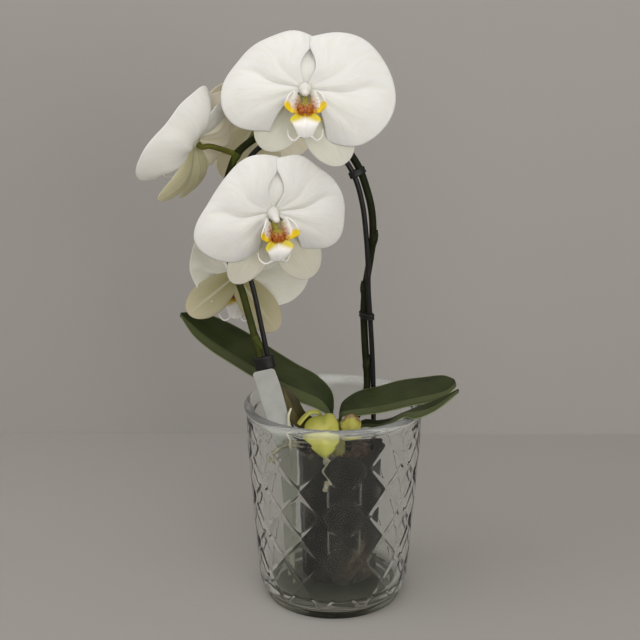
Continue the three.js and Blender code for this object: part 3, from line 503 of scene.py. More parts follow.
def stem_piece(name, route, radii, sides, finish, node):
    """A round stem with a radius for each of its rings, standing in for its solid."""
    points, faces, uv = round_stem(smooth_route(route, len(radii)), radii, sides)
    keep(new_piece(name, points, faces, finish, uv), node)


def joined(*shells):
    """One shell's points, faces and any further arrays after another's."""
    points, faces, rest = [], [], []
    for shell in shells:
        start = sum(len(p) for p in points)
        points.append(shell[0])
        faces += [tuple(start + k for k in face) for face in shell[1]]
        rest.append(shell[2:])
    return (np.vstack(points), faces, *(np.vstack(column) for column in zip(*rest)))


crown_skin, tree, shader = new_finish("crown_skin", Roughness=0.5)
streak = object_noise(tree, 160, 3, stretch=(1, 1, 0.25))
feed(shader, Base_Color=ramp(tree, streak, (0.3, (0.12, 0.11, 0.03)), (0.7, (0.3, 0.27, 0.08))))
bump(tree, shader, streak, 0.3, 0.0006)
share = np.linspace(0, 1, 40)
stem_piece("crown", CROWN_ROUTE, 5.75 - 1.2 * share + 0.25 * np.sin(30 * share), 28, crown_skin,
           "crown_stem")

root_skin, tree, shader = new_finish("silver_root", Roughness=0.75)
cork = object_noise(tree, 420, 4)
patch = object_noise(tree, 90, 2)
pale = ramp(tree, cork, (0.25, (0.09, 0.08, 0.05)), (0.75, (0.26, 0.24, 0.17)))
greened = mix_colours(tree, ramp(tree, patch, (0.45, 0.0), (0.7, 0.6)), pale, (0.1, 0.12, 0.04))
feed(shader, Base_Color=greened)
bump(tree, shader, cork, 0.6, 0.0005)
share = np.linspace(0, 1, 90)
for node, route, tip in (("root_front", ROOT_FRONT_ROUTE, 1.0), ("root_left", ROOT_LEFT_ROUTE, 0.82)):
    knobbly = 1.62 * (1 + (tip - 1) * share) * (1 + 0.05 * np.sin(31 * share) + 0.03 * np.sin(77 * share))
    stem_piece(node.replace("root_", "air_root_"), route, knobbly, 16, root_skin, node)

# Wire hoop
# Stiff steel wire in a black plastic coat, bent to an arch that the spike is trained along. Both of its
# legs are pushed into the bark.
WIRE_ROUTE = [
    (27, 16, 40), (27.2, 16, 100), (27.4, 16, 125), (26.8, 15.5, 148), (25.5, 13, 172), (24, 10, 193),
    (22.6, 8, 212), (22, 6, 231), (20.6, 5, 249), (18.2, 4.5, 268), (13.6, 4, 285), (7, 4, 297),
    (-3.4, 4, 307.2), (-17.5, 4, 313), (-32.2, 4, 312), (-44.3, 4, 307.6), (-52.3, 4, 301), (-58.6, 4, 290),
    (-62, 3.5, 272), (-61.6, 3, 252), (-58.6, 2.5, 234), (-53, 2, 214), (-47.4, 1, 186), (-42.6, 0.5, 162),
    (-36.5, 0, 137), (-28.4, 0.6, 118), (-21, 2, 106), (-19, 2.8, 97), (-18.6, 3, 82), (-18.6, 3, 40)]
WIRE_RADIUS = 1.7

black_coat, tree, shader = new_finish("black_coat", Roughness=0.4, Specular_IOR_Level=0.3)
worn = object_noise(tree, 300, 4)
feed(shader, Base_Color=ramp(tree, worn, (0.35, (0.004, 0.004, 0.004)), (0.8, (0.012, 0.012, 0.011))),
     Roughness=ramp(tree, worn, (0.3, 0.3), (0.8, 0.5)))
bump(tree, shader, worn, 0.15, 0.0003)
stem_piece("wire_hoop", WIRE_ROUTE, np.full(420, WIRE_RADIUS), 16, black_coat, "support_wire")

# Long leaves
# Thick, waxy strap leaves, folded a little along a sunken midrib. Their upper side is dark green, and the
# half that faces the light carries painted light, a paler strip. Their base clasps the crown.
LEAVES = {
    "leaf_left": (
        [(-2.4, -2, 118), (-2, -3.4, 126), (-11, 0.4, 131), (-23.8, 3.4, 135.4), (-38.2, 5.6, 143.4),
         (-53.6, 8, 150.7), (-69.8, 11, 160), (-83.7, 18, 167), (-95.8, 26, 175.2), (-104.6, 34.5, 185.6)],
        [(-4, 3.5, 117.5), (-3.2, 4, 127), (-9.3, 9, 134.4), (-20.8, 14, 138.4), (-36.6, 19, 144),
         (-53, 23, 152), (-68.9, 27, 160.8), (-82, 30, 168.6), (-93.7, 33, 177), (-105.2, 36, 186.8)],
        [(-2, 8.8, 119), (0, 11, 129), (-1.6, 17, 138.4), (-11.3, 27, 146.1), (-25.1, 34, 151.9),
         (-41.9, 40.6, 160.6), (-60.1, 45, 171.5), (-77.5, 46, 180.6), (-92, 42.6, 186.6),
         (-105, 37.4, 188)]),
    "leaf_right_upper": (
        [(4, -3, 123.6), (6, -7, 128.4), (12, -10.4, 129.8), (22.4, -14, 132.2), (35.3, -17, 135.6),
         (49.6, -18, 139.6), (62.7, -17, 142), (73.4, -12.4, 144.7), (79.4, -6.6, 147.8)],
        [(4.2, 1.5, 122.6), (5.4, 0.6, 128), (12.1, -3, 131.1), (22.7, -6, 133.6), (35.8, -8, 136.8),
         (50.2, -9, 140.7), (63.4, -9, 143.6), (74, -7, 145.9), (81.2, -2.4, 149.5)],
        [(4.4, 5.6, 123.6), (5, 8, 131.1), (9, 9.5, 135.6), (17.8, 11, 140.4), (30.1, 12.5, 142.8),
         (45, 14, 146.6), (61.2, 13.5, 149.1), (73.6, 9.6, 151.6), (80.6, 2.4, 151.2)]),
    "leaf_right_lower": (
        [(9.4, -0.8, 113), (14, -3, 117), (20.8, -6, 120.5), (28.7, -14, 122.8), (37, -24, 129.6),
         (44.5, -34, 137.7), (51.2, -40, 138.8), (59.3, -38, 140.8), (67.5, -36, 145), (78.4, -34.4, 154)],
        [(9.9, 2, 112.4), (14.6, 1, 116.6), (21.4, -1.5, 120.6), (29.4, -8, 122.4), (37.6, -16, 127.8),
         (45, -25, 136.4), (52.4, -31, 139.8), (60.6, -31, 141.8), (69.4, -31.5, 146.8),
         (78.9, -33.4, 155.2)],
        [(9.8, 5, 113.6), (14.5, 4.2, 118), (21.1, 3, 122.6), (29.3, -2, 123.8), (37.3, -8, 127.4),
         (44.9, -16, 133.9), (52.6, -22, 139.8), (62, -24, 144.4), (71.3, -27, 149.8), (79, -32.4, 156.2)]),
}
LEAF_THICKNESS = 1.8


def along(values, t):
    """Smooth values along a list of evenly spaced numbers or points, at places t from 0 to 1."""
    values = np.asarray(values, float)
    spot = np.asarray(t, float) * (len(values) - 1)
    i = np.minimum(spot.astype(int), len(values) - 2)
    a, b = values[np.maximum(i - 1, 0)], values[i]
    c, d = values[i + 1], values[np.minimum(i + 2, len(values) - 1)]
    f = spot - i
    if values.ndim > 1:
        f = f[..., None]
    return b + 0.5 * f * (c - a + f * (2 * a - 5 * b + 4 * c - d + f * (3 * (b - c) + d - a)))


def grid(rows, columns):
    """Places from 0 to 1 along and across a sheet."""
    return np.meshgrid(np.linspace(0, 1, rows), np.linspace(0, 1, columns), indexing="ij")


def leaf_surface(near, middle, far, rows, columns):
    """A grid of points between a leaf's near edge, its midrib and its far edge."""
    a = np.linspace(0, 1, rows)
    near, middle, far = (along(curve, a) for curve in (near, middle, far))
    t = np.linspace(-1, 1, columns)
    rounding = (np.abs(t) * (1.25 - 0.25 * np.abs(t)))[None, :, None]
    edge = np.where((t < 0)[None, :, None], near[:, None, :], far[:, None, :])
    return middle[:, None, :] + (edge - middle[:, None, :]) * rounding


def thin_blade(surface, thickness):
    """Points, faces and UV pairs of a thin closed blade about a grid of points."""
    rows, columns = surface.shape[:2]
    normal = np.cross(np.gradient(surface, axis=0), np.gradient(surface, axis=1))
    normal /= np.maximum(np.linalg.norm(normal, axis=2), 1e-9)[..., None]
    half = normal * np.broadcast_to(thickness, (rows, columns))[..., None] / 2
    points = np.vstack([(surface + half).reshape(-1, 3), (surface - half).reshape(-1, 3)])
    index = np.arange(rows * columns).reshape(rows, columns)
    back = rows * columns
    corners = (index[:-1, :-1], index[1:, :-1], index[1:, 1:], index[:-1, 1:])
    front = np.stack(corners, -1).reshape(-1, 4)
    faces = front.tolist() + (front[:, ::-1] + back).tolist()
    rim = np.r_[index[:, 0], index[-1, 1:], index[::-1, -1][1:], index[0, ::-1][1:-1]]
    following = np.roll(rim, -1)
    faces += np.c_[rim, rim + back, following + back, following].tolist()
    pair = np.column_stack([places.ravel() for places in grid(rows, columns)])
    return points, [tuple(face) for face in faces], np.vstack([pair, pair])


def own_map(tree):
    """A piece's own map, along it and across it."""
    return add_node(tree, "ShaderNodeUVMap", {"uv_map": "along_across"}).outputs[0]


def leaf_finish(name, deep, fresh, edge, rough):
    """A waxy leaf skin with long fine veins, a sunken midrib line, a paler rim and a painted lit strip on its
    near half.
    """
    finish, tree, shader = new_finish(name, Specular_IOR_Level=0.18)
    across = parts_of(tree, own_map(tree))[1]
    off_middle = number(tree, "ABSOLUTE", number(tree, "SUBTRACT", across, 0.5))
    veins = noise_on(tree, own_map(tree), 4, 4, stretch=(1.5, 26, 1))
    blotch = object_noise(tree, 38, 3)
    colour = mix_colours(tree, ramp(tree, veins, (0.35, 0.0), (0.7, 1.0)), deep, fresh)
    colour = mix_colours(tree, ramp(tree, blotch, (0.4, 0.0), (0.75, 0.45)), colour, edge)
    # Painted light: the near half of the blade is painted paler where light falls on it.
    lit_strip = ramp(tree, across, (0.02, 0.2), (0.16, 0.75), (0.47, 0.8), (0.5, 0.0))
    colour = mix_colours(tree, lit_strip, colour, edge)
    rim = tuple(2 * part for part in edge)
    colour = mix_colours(tree, ramp(tree, off_middle, (0.465, 0.0), (0.5, 0.9)), colour, rim)
    feed(shader, Base_Color=colour, Roughness=ramp(tree, blotch, (0.3, rough - 0.07), (0.7, rough + 0.08)))
    midrib = ramp(tree, off_middle, (0.0, 0.0), (0.035, 1.0))
    bump(tree, shader, number(tree, "ADD", number(tree, "MULTIPLY", veins, 0.25), midrib), 0.35, 0.0006)
    return finish


def leaf_piece(name, curves, rows, shares, finish, node):
    """A leaf between three curves, with its share of the full thickness at each point across."""
    surface = leaf_surface(*curves, rows, len(shares))
    points, faces, uv = thin_blade(surface, LEAF_THICKNESS * shares[None, :])
    keep(new_piece(name, points, faces, finish, uv), node)


leaf_skin = leaf_finish("strap_leaf", (0.014, 0.02, 0.005), (0.026, 0.034, 0.009), (0.075, 0.09, 0.034), 0.46)
shares = np.clip(1.02 - 0.72 * np.abs(np.linspace(-1, 1, 37)) ** 3, 0.3, 1)
for node, curves in LEAVES.items():
    leaf_piece(node.replace("leaf_", "long_leaf_"), curves, 120, shares, leaf_skin, node)

# Olive leaf
# A small, thin leaf that has aged to a dull olive brown. It grows from the crown like the long leaves and
# stands behind the label.
OLIVE_NEAR = [(-2.7, 0.9, 108.6), (-9, -3, 114.6), (-17.2, -6.4, 118.8), (-23.8, -9.6, 121.4),
              (-29.7, -12, 127.8), (-32.3, -12.6, 137.1), (-33.6, -12, 144.5), (-33.9, -11, 150.4)]
OLIVE_MIDDLE = [(-3, 2.4, 110), (-8.8, -1, 116), (-15.9, -4.4, 121.4), (-21.9, -7.6, 125.2),
                (-25.8, -10, 132.2), (-28.4, -10.6, 139.6), (-31.6, -10.8, 145.9), (-33.6, -10.5, 150.9)]
OLIVE_FAR = [(-3, 4.2, 111.4), (-8.4, 0.8, 118.6), (-13.9, -2.6, 126), (-19.2, -5.6, 131.2),
             (-21.8, -8, 136.9), (-23.8, -9.4, 142.4), (-28.4, -10, 147.9), (-32.9, -10, 151.4)]

olive_skin = leaf_finish("aged_leaf", (0.022, 0.02, 0.009), (0.05, 0.045, 0.016), (0.09, 0.07, 0.025), 0.45)
shares = 1.02 - 0.7 * np.abs(np.linspace(-1, 1, 25)) ** 3
leaf_piece("olive_leaf", (OLIVE_NEAR, OLIVE_MIDDLE, OLIVE_FAR), 70, shares, olive_skin, "leaf_olive")

# Cut leaf stubs
# The thick yellow-green bases of leaves that were cut short. One rolls down inside the glass like a tongue,
# with a curled rim beside it, and one stands up at the right with a browned edge and painted shade inside its
# cup.
STUB_FRONT = (
    [(-1.7, -1.9, 115), (-12.6, -8, 120.6), (-18.5, -13, 127.4), (-19.4, -19, 127.5), (-19.4, -24, 123.1),
     (-16.4, -28, 117), (-11.4, -29, 111.8), (-7.4, -29.4, 109.4)],
    [(0.2, -2.8, 114.6), (-6.6, -9, 122.4), (-7.9, -15, 131.4), (-8, -22, 130.4), (-8, -28.5, 125.5),
     (-7.3, -31, 118.8), (-6.4, -31, 112.6), (-6.2, -29.6, 108.8)],
    [(2.8, -2.8, 115), (0.1, -8, 123.4), (0, -14, 133), (2.5, -20, 131.3), (3.1, -25, 124.9),
     (2.6, -28.5, 117.6), (-1.2, -29.5, 112), (-5, -29.4, 109.4)])
STUB_CURL = (
    [(-7, -9, 121.4), (-9.6, -9, 132.4), (-15.2, -11, 134), (-20.4, -13, 131.2), (-24.2, -15, 126.7)],
    [(-7.6, -11, 121), (-9.6, -11.4, 131.4), (-15, -13, 133), (-19.8, -14.8, 130.2), (-23.4, -16.4, 126)],
    [(-8.2, -13, 121.4), (-9.6, -14, 132), (-14.8, -15, 133.6), (-19, -16.8, 130.6), (-22.6, -18, 126.2)])
STUB_RIGHT = (
    [(4.4, -2.9, 113.6), (5.6, -9, 117.4), (4.6, -13, 122.4), (4.2, -15, 128.1), (5.9, -15.5, 130.4)],
    [(6.8, -1.9, 113.4), (10.4, -10, 117.4), (11.2, -15.5, 123.4), (11.1, -18, 129.2), (11.1, -18.5, 132.2)],
    [(8.6, -0.8, 114.4), (15, -7.6, 118.2), (17.3, -12, 122.1), (17.8, -14.5, 127.9), (16.4, -15, 130.9)])

stub_skin, tree, shader = new_finish("cut_leaf_base", Roughness=0.42, Subsurface_Weight=0.12, Coat_Weight=0.1,
                                     Subsurface_Radius=(0.9, 1.0, 0.3), Subsurface_Scale=0.002)
down, across, _ = parts_of(tree, own_map(tree))
off_middle = number(tree, "ABSOLUTE", number(tree, "SUBTRACT", across, 0.5))
blotch = object_noise(tree, 95, 3)
colour = ramp(tree, blotch, (0.3, (0.24, 0.25, 0.03)), (0.55, (0.36, 0.34, 0.06)), (0.8, (0.46, 0.4, 0.1)))
# Painted shade: the inside of the right stub's cup is painted dark olive brown.
hollow = number(tree, "MULTIPLY", ramp(tree, down, (0.78, 0.0), (0.88, 0.8)),
                ramp(tree, off_middle, (0.26, 1.0), (0.4, 0.0)))
colour = mix_colours(tree, hollow, colour, (0.13, 0.1, 0.02))
torn_edge = number(tree, "ADD", down, number(tree, "MULTIPLY", blotch, 0.2))
browned = ramp(tree, torn_edge, (0.9, 0.0), (0.98, 0.6), (1.0, 1.0))
feed(shader, Base_Color=mix_colours(tree, browned, colour, (0.2, 0.11, 0.04)))
bump(tree, shader, object_noise(tree, 240, 3), 0.25, 0.0004)

t = np.linspace(-1, 1, 29)
thinned = np.sqrt(1 - 0.96 * t**4)[None, :]
tongue = leaf_surface(*STUB_FRONT, 64, 29)
crest = bell(np.linspace(0, 1, 64), 0.4, 0.22)[:, None]
tongue[..., 2] -= crest * (3.4 * t**4 + 1.4 * bell(t, 0.05, 0.16))
curl = leaf_surface(*STUB_CURL, 44, 29)
points, faces, uv = joined(thin_blade(tongue, 2.4 * thinned), thin_blade(curl, 2 * thinned))
keep(new_piece("front_stub", points, faces, stub_skin, uv * (0.75, 1)), "leaf_stub_front")

cupped = leaf_surface(*STUB_RIGHT, 48, 29)
rise = np.linspace(0, 1, 48)[:, None] ** 2
cupped[..., 1] -= rise * 6.5 * (np.abs(t) ** 2.2 - 0.5)
cupped[..., 2] += rise * (0.9 * np.cos(2.6 * t) - 0.4 + 0.25 * np.sin(11 * t))
points, faces, uv = thin_blade(cupped, 2 * thinned)
keep(new_piece("right_stub", points, faces, stub_skin, uv), "leaf_stub_right")

# Label and pin
# A bare white plastic label with rounded corners that leans out of the gap between pot and glass, and a
# slim cream pin beside it.
LABEL_ROUTE = [(-46.2, -18, 164), (-42.6, -17, 151.7), (-39.4, -16, 139.6), (-36.1, -15, 126.7),
               (-33.1, -13, 116.2), (-30.9, -11, 105), (-29.8, -8.4, 84), (-29.8, -6.4, 60), (-30, -5.4, 36),
               (-30, -5, 12.2)]
LABEL_HALF_WIDTHS = (7.3, 7.7, 7.5, 7.2, 7, 6.4, 5.2, 4.4, 3.6, 1)
LABEL_THICKNESS = 0.7
LABEL_CORNER = 2.4
LABEL_LEAN = (13, 2)
PIN_ROUTE = [(-28.2, -18, 138), (-29.8, -18.2, 133), (-29.6, -18.2, 124), (-29, -18, 112), (-27.6, -18, 94),
             (-26.6, -17, 60), (-26.6, -16, 12)]

label_plastic, tree, shader = new_finish("label_plastic", Roughness=0.38, Subsurface_Weight=0.1,
                                         Subsurface_Scale=0.001)
scuffs = object_noise(tree, 110, 4)
upper_tone = ramp(tree, scuffs, (0.3, (0.34, 0.34, 0.318)), (0.7, (0.41, 0.41, 0.385)))
# The label is darker towards its foot, down in the glass.
darker_below = ramp(tree, parts_of(tree, own_map(tree))[0], (0.42, 0.0), (0.62, 0.8))
feed(shader, Base_Color=mix_colours(tree, darker_below, upper_tone, (0.11, 0.105, 0.08)))
bump(tree, shader, scuffs, 0.1, 0.0004)

a = np.r_[np.linspace(0, 0.025, 14), np.linspace(0.03, 1, 110)]
middle = along(LABEL_ROUTE, a)
half_width = along(LABEL_HALF_WIDTHS, a)
from_top = np.linalg.norm(middle - middle[0], axis=1)
inset = np.clip(1 - from_top / LABEL_CORNER, 0, 1)
half_width = half_width - LABEL_CORNER * (1 - np.sqrt(1 - inset**2))
lean = np.radians(LABEL_LEAN[0] - (LABEL_LEAN[0] - LABEL_LEAN[1]) * np.minimum(a * 1.6, 1))
reach = np.linspace(-1, 1, 17)[None, :] * half_width[:, None]
sideways = np.stack([reach * np.cos(lean)[:, None], np.zeros_like(reach), reach * np.sin(lean)[:, None]], -1)
points, faces, uv = thin_blade(middle[:, None, :] + sideways, LABEL_THICKNESS)
keep(new_piece("plant_label", points, faces, label_plastic, uv), "label")

pin_plastic, tree, shader = new_finish("pin_plastic", Roughness=0.4)
stain = object_noise(tree, 140, 3)
upper_tone = ramp(tree, stain, (0.3, (0.5, 0.46, 0.32)), (0.7, (0.62, 0.6, 0.48)))
# The pin is darker towards its foot, down in the glass.
darker_below = ramp(tree, parts_of(tree, own_map(tree))[0], (0.12, 0.0), (0.25, 0.9))
feed(shader, Base_Color=mix_colours(tree, darker_below, upper_tone, (0.09, 0.085, 0.06)))
radii = np.interp(np.linspace(0, 1, 120), (0, 0.02, 1), (0.55, 0.8, 0.78))
stem_piece("label_pin", PIN_ROUTE, radii, 12, pin_plastic, "label_pin")

# Blooms
# White moth orchid blooms. Two broad petals overlap in front of three narrower sepals, and a short column
# stands at the middle. The tissue is thin, creased outwards from the column, and lets light through.
# Each bloom's shade_and_tint gives its two petals and its lower sepals a colour factor: painted shade for
# blooms and petals turned from the lamps, with the warm tint of tissue seen from behind.
BLOOMS = {
    "bloom_top": dict(
        petals=((80, 230, (31.5, 35.8, 38.3, 43, 50.2, 48.4, 33)),
                (84, -68, (31, 39.5, 47.8, 53.4, 55, 48.6, 33.5))),
        sepals=((80, 30, 12), (233, 44, 14), (298, 51, 15)), centre=(-18.3, -28, 344.6),
        face=(0.03, -0.99, 0.12), up=(0, 0, 1), sweep=6, cup=0, green=0.25,
        shade_and_tint=((1, 1, 1), (1, 1, 1), (0.95, 0.95, 0.92))),
    "bloom_middle": dict(
        petals=((80, 256, (33.3, 37.9, 35.9, 40, 50.2, 42, 28)),
                (84, -54, (33.6, 37.8, 40.6, 46.2, 51, 50.6, 35))),
        sepals=((96, 31, 12), (244, 52, 12.5), (302, 57, 14.5)), centre=(-38.7, -32, 270.6),
        face=(0.36, -0.92, -0.12), up=(0, -0.1, 1), sweep=6, cup=0, green=0.3,
        shade_and_tint=((1, 1, 1), (1, 1, 1), (0.92, 0.9, 0.85))),
    "bloom_left": dict(
        petals=((80, 230, (31.5, 35.8, 38.3, 42, 46, 44, 31)), (84, -68, (31, 40, 42, 44, 50, 47.4, 34))),
        sepals=((80, 30, 12), (240, 43, 12), (284, 43, 13)),
        centre=(-88.5, -5, 310.6), face=(-0.79, 0.375, 0.49), up=(0.52, 0, 0.85), sweep=3, cup=13, green=0.5,
        shade_and_tint=((1, 0.95, 0.82), (1, 1, 1), (0.98, 0.94, 0.74))),
    "bloom_back": dict(
        petals=((84, 236, (31, 35, 37, 41, 47, 43, 30)), (80, -42, (31, 36, 41, 45, 44, 38, 28))),
        sepals=((84, 29, 11), (252, 38, 12), (307, 43, 13.5)),
        centre=(-53.5, 60, 315), face=(-0.48, 0.87, 0.12), up=(0, 0, 1), sweep=6, cup=0, green=0.5,
        shade_and_tint=((0.97, 0.91, 0.77), (0.97, 0.91, 0.77), (0.92, 0.86, 0.68))),
    "bloom_low": dict(
        petals=((80, 224, (31, 38, 45, 52, 50, 43, 30)), (84, -52, (30, 35, 36, 32.5, 29.5, 27, 24))),
        sepals=((90, 30, 12), (230, 47, 12), (317, 41, 12)),
        centre=(-66.5, 36, 214.4), face=(0.05, 0.95, -0.3), up=(0.05, 0.3, 0.95), sweep=5, cup=0, green=0.95,
        shade_and_tint=((0.88, 0.87, 0.8), (0.88, 0.87, 0.8), (0.62, 0.56, 0.41))),
}
PETAL_WHITE = np.array((0.9, 0.89, 0.85))
SEPAL_WHITE = np.array((0.82, 0.81, 0.74))
YOUNG_GREEN = np.array((0.36, 0.37, 0.12))
PETAL_GRID = (56, 80)
SEPAL_GRID = (48, 30)
UPRIGHT_BELOW = 120
PETAL_THICKNESS = 0.9
COLUMN_TILT = math.radians(18)
COLUMN_OUTLINE = (
    (0.6, -3.9), (1.6, -3.75), (2.6, -3.4), (3.6, -2.3), (4.2, -1), (4.2, 0.4), (4, 2), (3.4, 3.4),
    (2.9, 4.8), (2.5, 6.2), (2.25, 7.6), (2.1, 8.7), (1.8, 9.6), (1.2, 10.2), (0.5, 10.5))


def smooth_step(low, high, value):
    """A share that runs softly from 0 at one value to 1 at another."""
    t = np.clip((value - low) / (high - low), 0, 1)
    return t**2 * (3 - 2 * t)


def petal_sheet(start, end, reaches, sweep, cup, turn):
    """A petal as a fan that domes, creases and waves, in the bloom's own frame."""
    a, b = grid(*PETAL_GRID)
    parted = 0.15 * (1 - smooth_step(0.3, 0.85, a))
    share = parted + b * (1 - parted - 0.14 * (1 - a))
    angle = np.radians(start + (end - start) * share)
    reach = 3 + a * (along(reaches, b) - 3) + 0.45 * a**5 * np.sin(19 * b + turn)
    dome = 3.2 * np.sin(np.pi * np.minimum(a * 0.92 + 0.02, 1))
    bend = 0.02 * np.sin(7 * a)
    crease = 1.7 * bell(b, 0.58 + bend, 0.07) + 0.4 * bell(b, 0.57 + bend, 0.016)
    crease += 0.4 * bell(b, 0.34, 0.06) + 0.5 * bell(b, 0.84 - 0.03 * a, 0.05)
    wave = 1.1 * a**2 * np.sin(9 * b + 0.6) + 0.45 * a**4 * np.sin(23 * b + turn) * np.sin(5 * b + 2 * turn)
    height = 1 + dome - crease * np.sin(np.pi * a) ** 0.6 + wave - sweep * a**2
    hollow = 0.5 + 0.5 * smooth_step(0, 0.16, np.minimum(b, 1 - b))
    height += cup * (0.37 * a**2 - np.sin(np.pi * a) * hollow)
    if end < start:
        height += 1.3 * bell(b, 0, 0.1) * a
    return np.stack([reach * np.cos(angle), reach * np.sin(angle), height], -1), a, b


def sepal_sheet(degrees, length, half_width, sweep, rise, cup):
    """A sepal as an oval with a rounded tip and a shallow trough along its middle."""
    a, b = grid(*SEPAL_GRID)
    a = np.sin(a * math.pi / 2)
    t = 2 * b - 1
    narrow = np.sin(np.pi * np.minimum(0.12 + 0.66 * a, 0.5)) ** 0.75
    tip = np.sqrt(1 - np.clip((a - 0.56) / 0.44, 0, 1) ** 2)
    sideways = t * np.maximum(half_width * narrow * tip, 0.4)
    reach = 2.6 + a * (length - 2.6)
    angle = math.radians(degrees)
    arch = np.sin(np.pi * a)
    height = (1.6 * t**2 - 0.4 * bell(t, 0, 0.12) - 0.6 * cup) * arch - 1.6 - sweep * a**2
    height += rise * np.sin(np.pi * np.minimum(a + 0.1, 1))
    x = reach * math.cos(angle) - sideways * math.sin(angle)
    y = reach * math.sin(angle) + sideways * math.cos(angle)
    return np.stack([x, y, height], -1), a, b


def tinted_blade(sheet, a, b, thickness, least, colour, mark=1.0):
    """A thin closed blade that falls off towards its free edges, with a colour and a mark at each point."""
    inside = np.minimum(np.minimum(1 - a, 1) * 9, np.minimum(b, 1 - b) * 12)
    thickness = least + (thickness - least) * np.clip(inside, 0, 1)
    tint = np.concatenate([colour, np.broadcast_to(mark, a.shape)[..., None]], -1).reshape(-1, 4)
    return (*thin_blade(sheet, thickness), np.vstack([tint, tint]))


def paint(first, second, share):
    """One colour going over into another, for arrays of shares."""
    share = np.clip(share, 0, 1)[..., None]
    return first * (1 - share) + second * share


def bloom_place(bloom):
    """The turn and the place of a bloom's frame: x to its right, y up and z out of its face."""
    face = np.array(bloom["face"], float)
    face /= np.linalg.norm(face)
    up = np.array(bloom["up"], float)
    up -= face * up.dot(face)
    up /= np.linalg.norm(up)
    return np.column_stack([np.cross(up, face), up, face]), np.array(bloom["centre"], float)


def column_shell():
    """The column at a bloom's middle, with the rounded cap at its tip."""
    points, faces = turned(COLUMN_OUTLINE, 26)
    x, y, z = points.T
    leaning = np.c_[x, y * math.cos(COLUMN_TILT) - z * math.sin(COLUMN_TILT),
                    y * math.sin(COLUMN_TILT) + z * math.cos(COLUMN_TILT)]
    rise = np.clip((z - 7) / 3, 0, 1)
    colour = paint(np.array((0.88, 0.86, 0.82)), np.array((0.84, 0.68, 0.63)), rise * np.clip(-y / 2, 0, 1))
    colour = paint(YOUNG_GREEN, colour, (z + 5) / 4)
    return leaning, faces, np.zeros((len(points), 2)), np.c_[colour, np.zeros(len(points))]


petal_tissue, tree, shader = new_finish("petal_tissue", Roughness=0.5, Subsurface_Weight=0.35,
                                        Subsurface_Radius=(1.0, 0.9, 0.7), Subsurface_Scale=0.0016)
veins = noise_on(tree, own_map(tree), 2.2, 4, stretch=(1.6, 11, 1), twist=0.6)
darker = ramp(tree, veins, (0.3, (0.9, 0.9, 0.86)), (0.6, (1.0, 1.0, 1.0)))
veined = mix_colours(tree, 0.45, own_tint(tree)[0], darker, "MULTIPLY")
feed(shader, Base_Color=veined)
cells = number(tree, "MULTIPLY", object_noise(tree, 700, 2), 0.15)
bump(tree, shader, number(tree, "ADD", veins, cells), 0.3, 0.0009)
lay_over(petal_tissue, 0.22, add_node(tree, "ShaderNodeBsdfTranslucent", Color=veined))

for order, (node, bloom) in enumerate(BLOOMS.items()):
    shells = [column_shell()]
    for side, (start, end, reaches) in enumerate(bloom["petals"]):
        sheet, a, b = petal_sheet(start, end, reaches, bloom["sweep"], bloom["cup"], 1.7 * order + 2.6 * side)
        # Painted shade: each petal is darkened and warmed by its bloom's factor.
        tint = paint(YOUNG_GREEN * 1.3, PETAL_WHITE, 0.6 + a * 5) * bloom["shade_and_tint"][side]
        shells.append(tinted_blade(sheet, a, b, PETAL_THICKNESS, 0.3, tint))
    for degrees, length, half_width in bloom["sepals"]:
        upright = degrees < UPRIGHT_BELOW
        rise = 3.4 if upright else 0
        sheet, a, b = sepal_sheet(degrees, length, half_width, bloom["sweep"], rise, bloom["cup"])
        from_middle = np.abs(2 * b - 1)
        green = bloom["green"] * np.clip(1.15 - 1.2 * a, 0, 1) * (1 - 0.6 * from_middle)
        if upright:
            tint = paint(PETAL_WHITE, YOUNG_GREEN * 1.25, 0.2 * green)
        else:
            # Painted shade: the lower sepals are darkened and warmed by their bloom's factor.
            tint = paint(SEPAL_WHITE, YOUNG_GREEN * 1.25, green) * bloom["shade_and_tint"][2]
            midrib = 0.5 * bell(from_middle, 0, 0.07) * np.clip(1.1 - a, 0, 1)
            tint = paint(tint, PETAL_WHITE * 0.9, midrib)
        shells.append(tinted_blade(sheet, a, b, PETAL_THICKNESS, 0.35, tint))
    points, faces, uv, tint = joined(*shells)
    turn, centre = bloom_place(bloom)
    petals = new_piece(node.replace("bloom_", "bloom_petals_"), points @ turn.T + centre, faces, petal_tissue,
                       uv, tint)
    keep(petals, node)

# Bloom lips
# The lip hangs below the column: two upright ears with a yellow lower edge, a speckled orange cushion
# between them, and a white three-cornered lobe that ends in two curled threads.
EAR_CORNERS = (((3, -5, 6.8), (3, -10, 9.4), (3, -15, 11.4)),
               ((6.6, -0.8, 8.6), (8.8, -7, 11), (8.6, -14.4, 13)),
               ((6.4, 0.4, 12), (11.4, -6.4, 15.5), (13.2, -13.4, 16.6)))
LIP_WHITE = np.array((0.86, 0.84, 0.8))
LIP_YELLOW = np.array((0.85, 0.6, 0.012))
LIP_AMBER = np.array((0.4, 0.11, 0.004))
# An olive green that is partly the lip's own colour and partly painted shade: in the cavity at the base of
# the ears, on the cushion's top and on the short stalk under the column.
LIP_OLIVE_AND_SHADE = np.array((0.26, 0.23, 0.03))
CUSHION_SIZE = (5.2, 5, 4.4)
CUSHION_PLACE = (0, -12.6, 10)
CUSHION_OPENING = 0.12


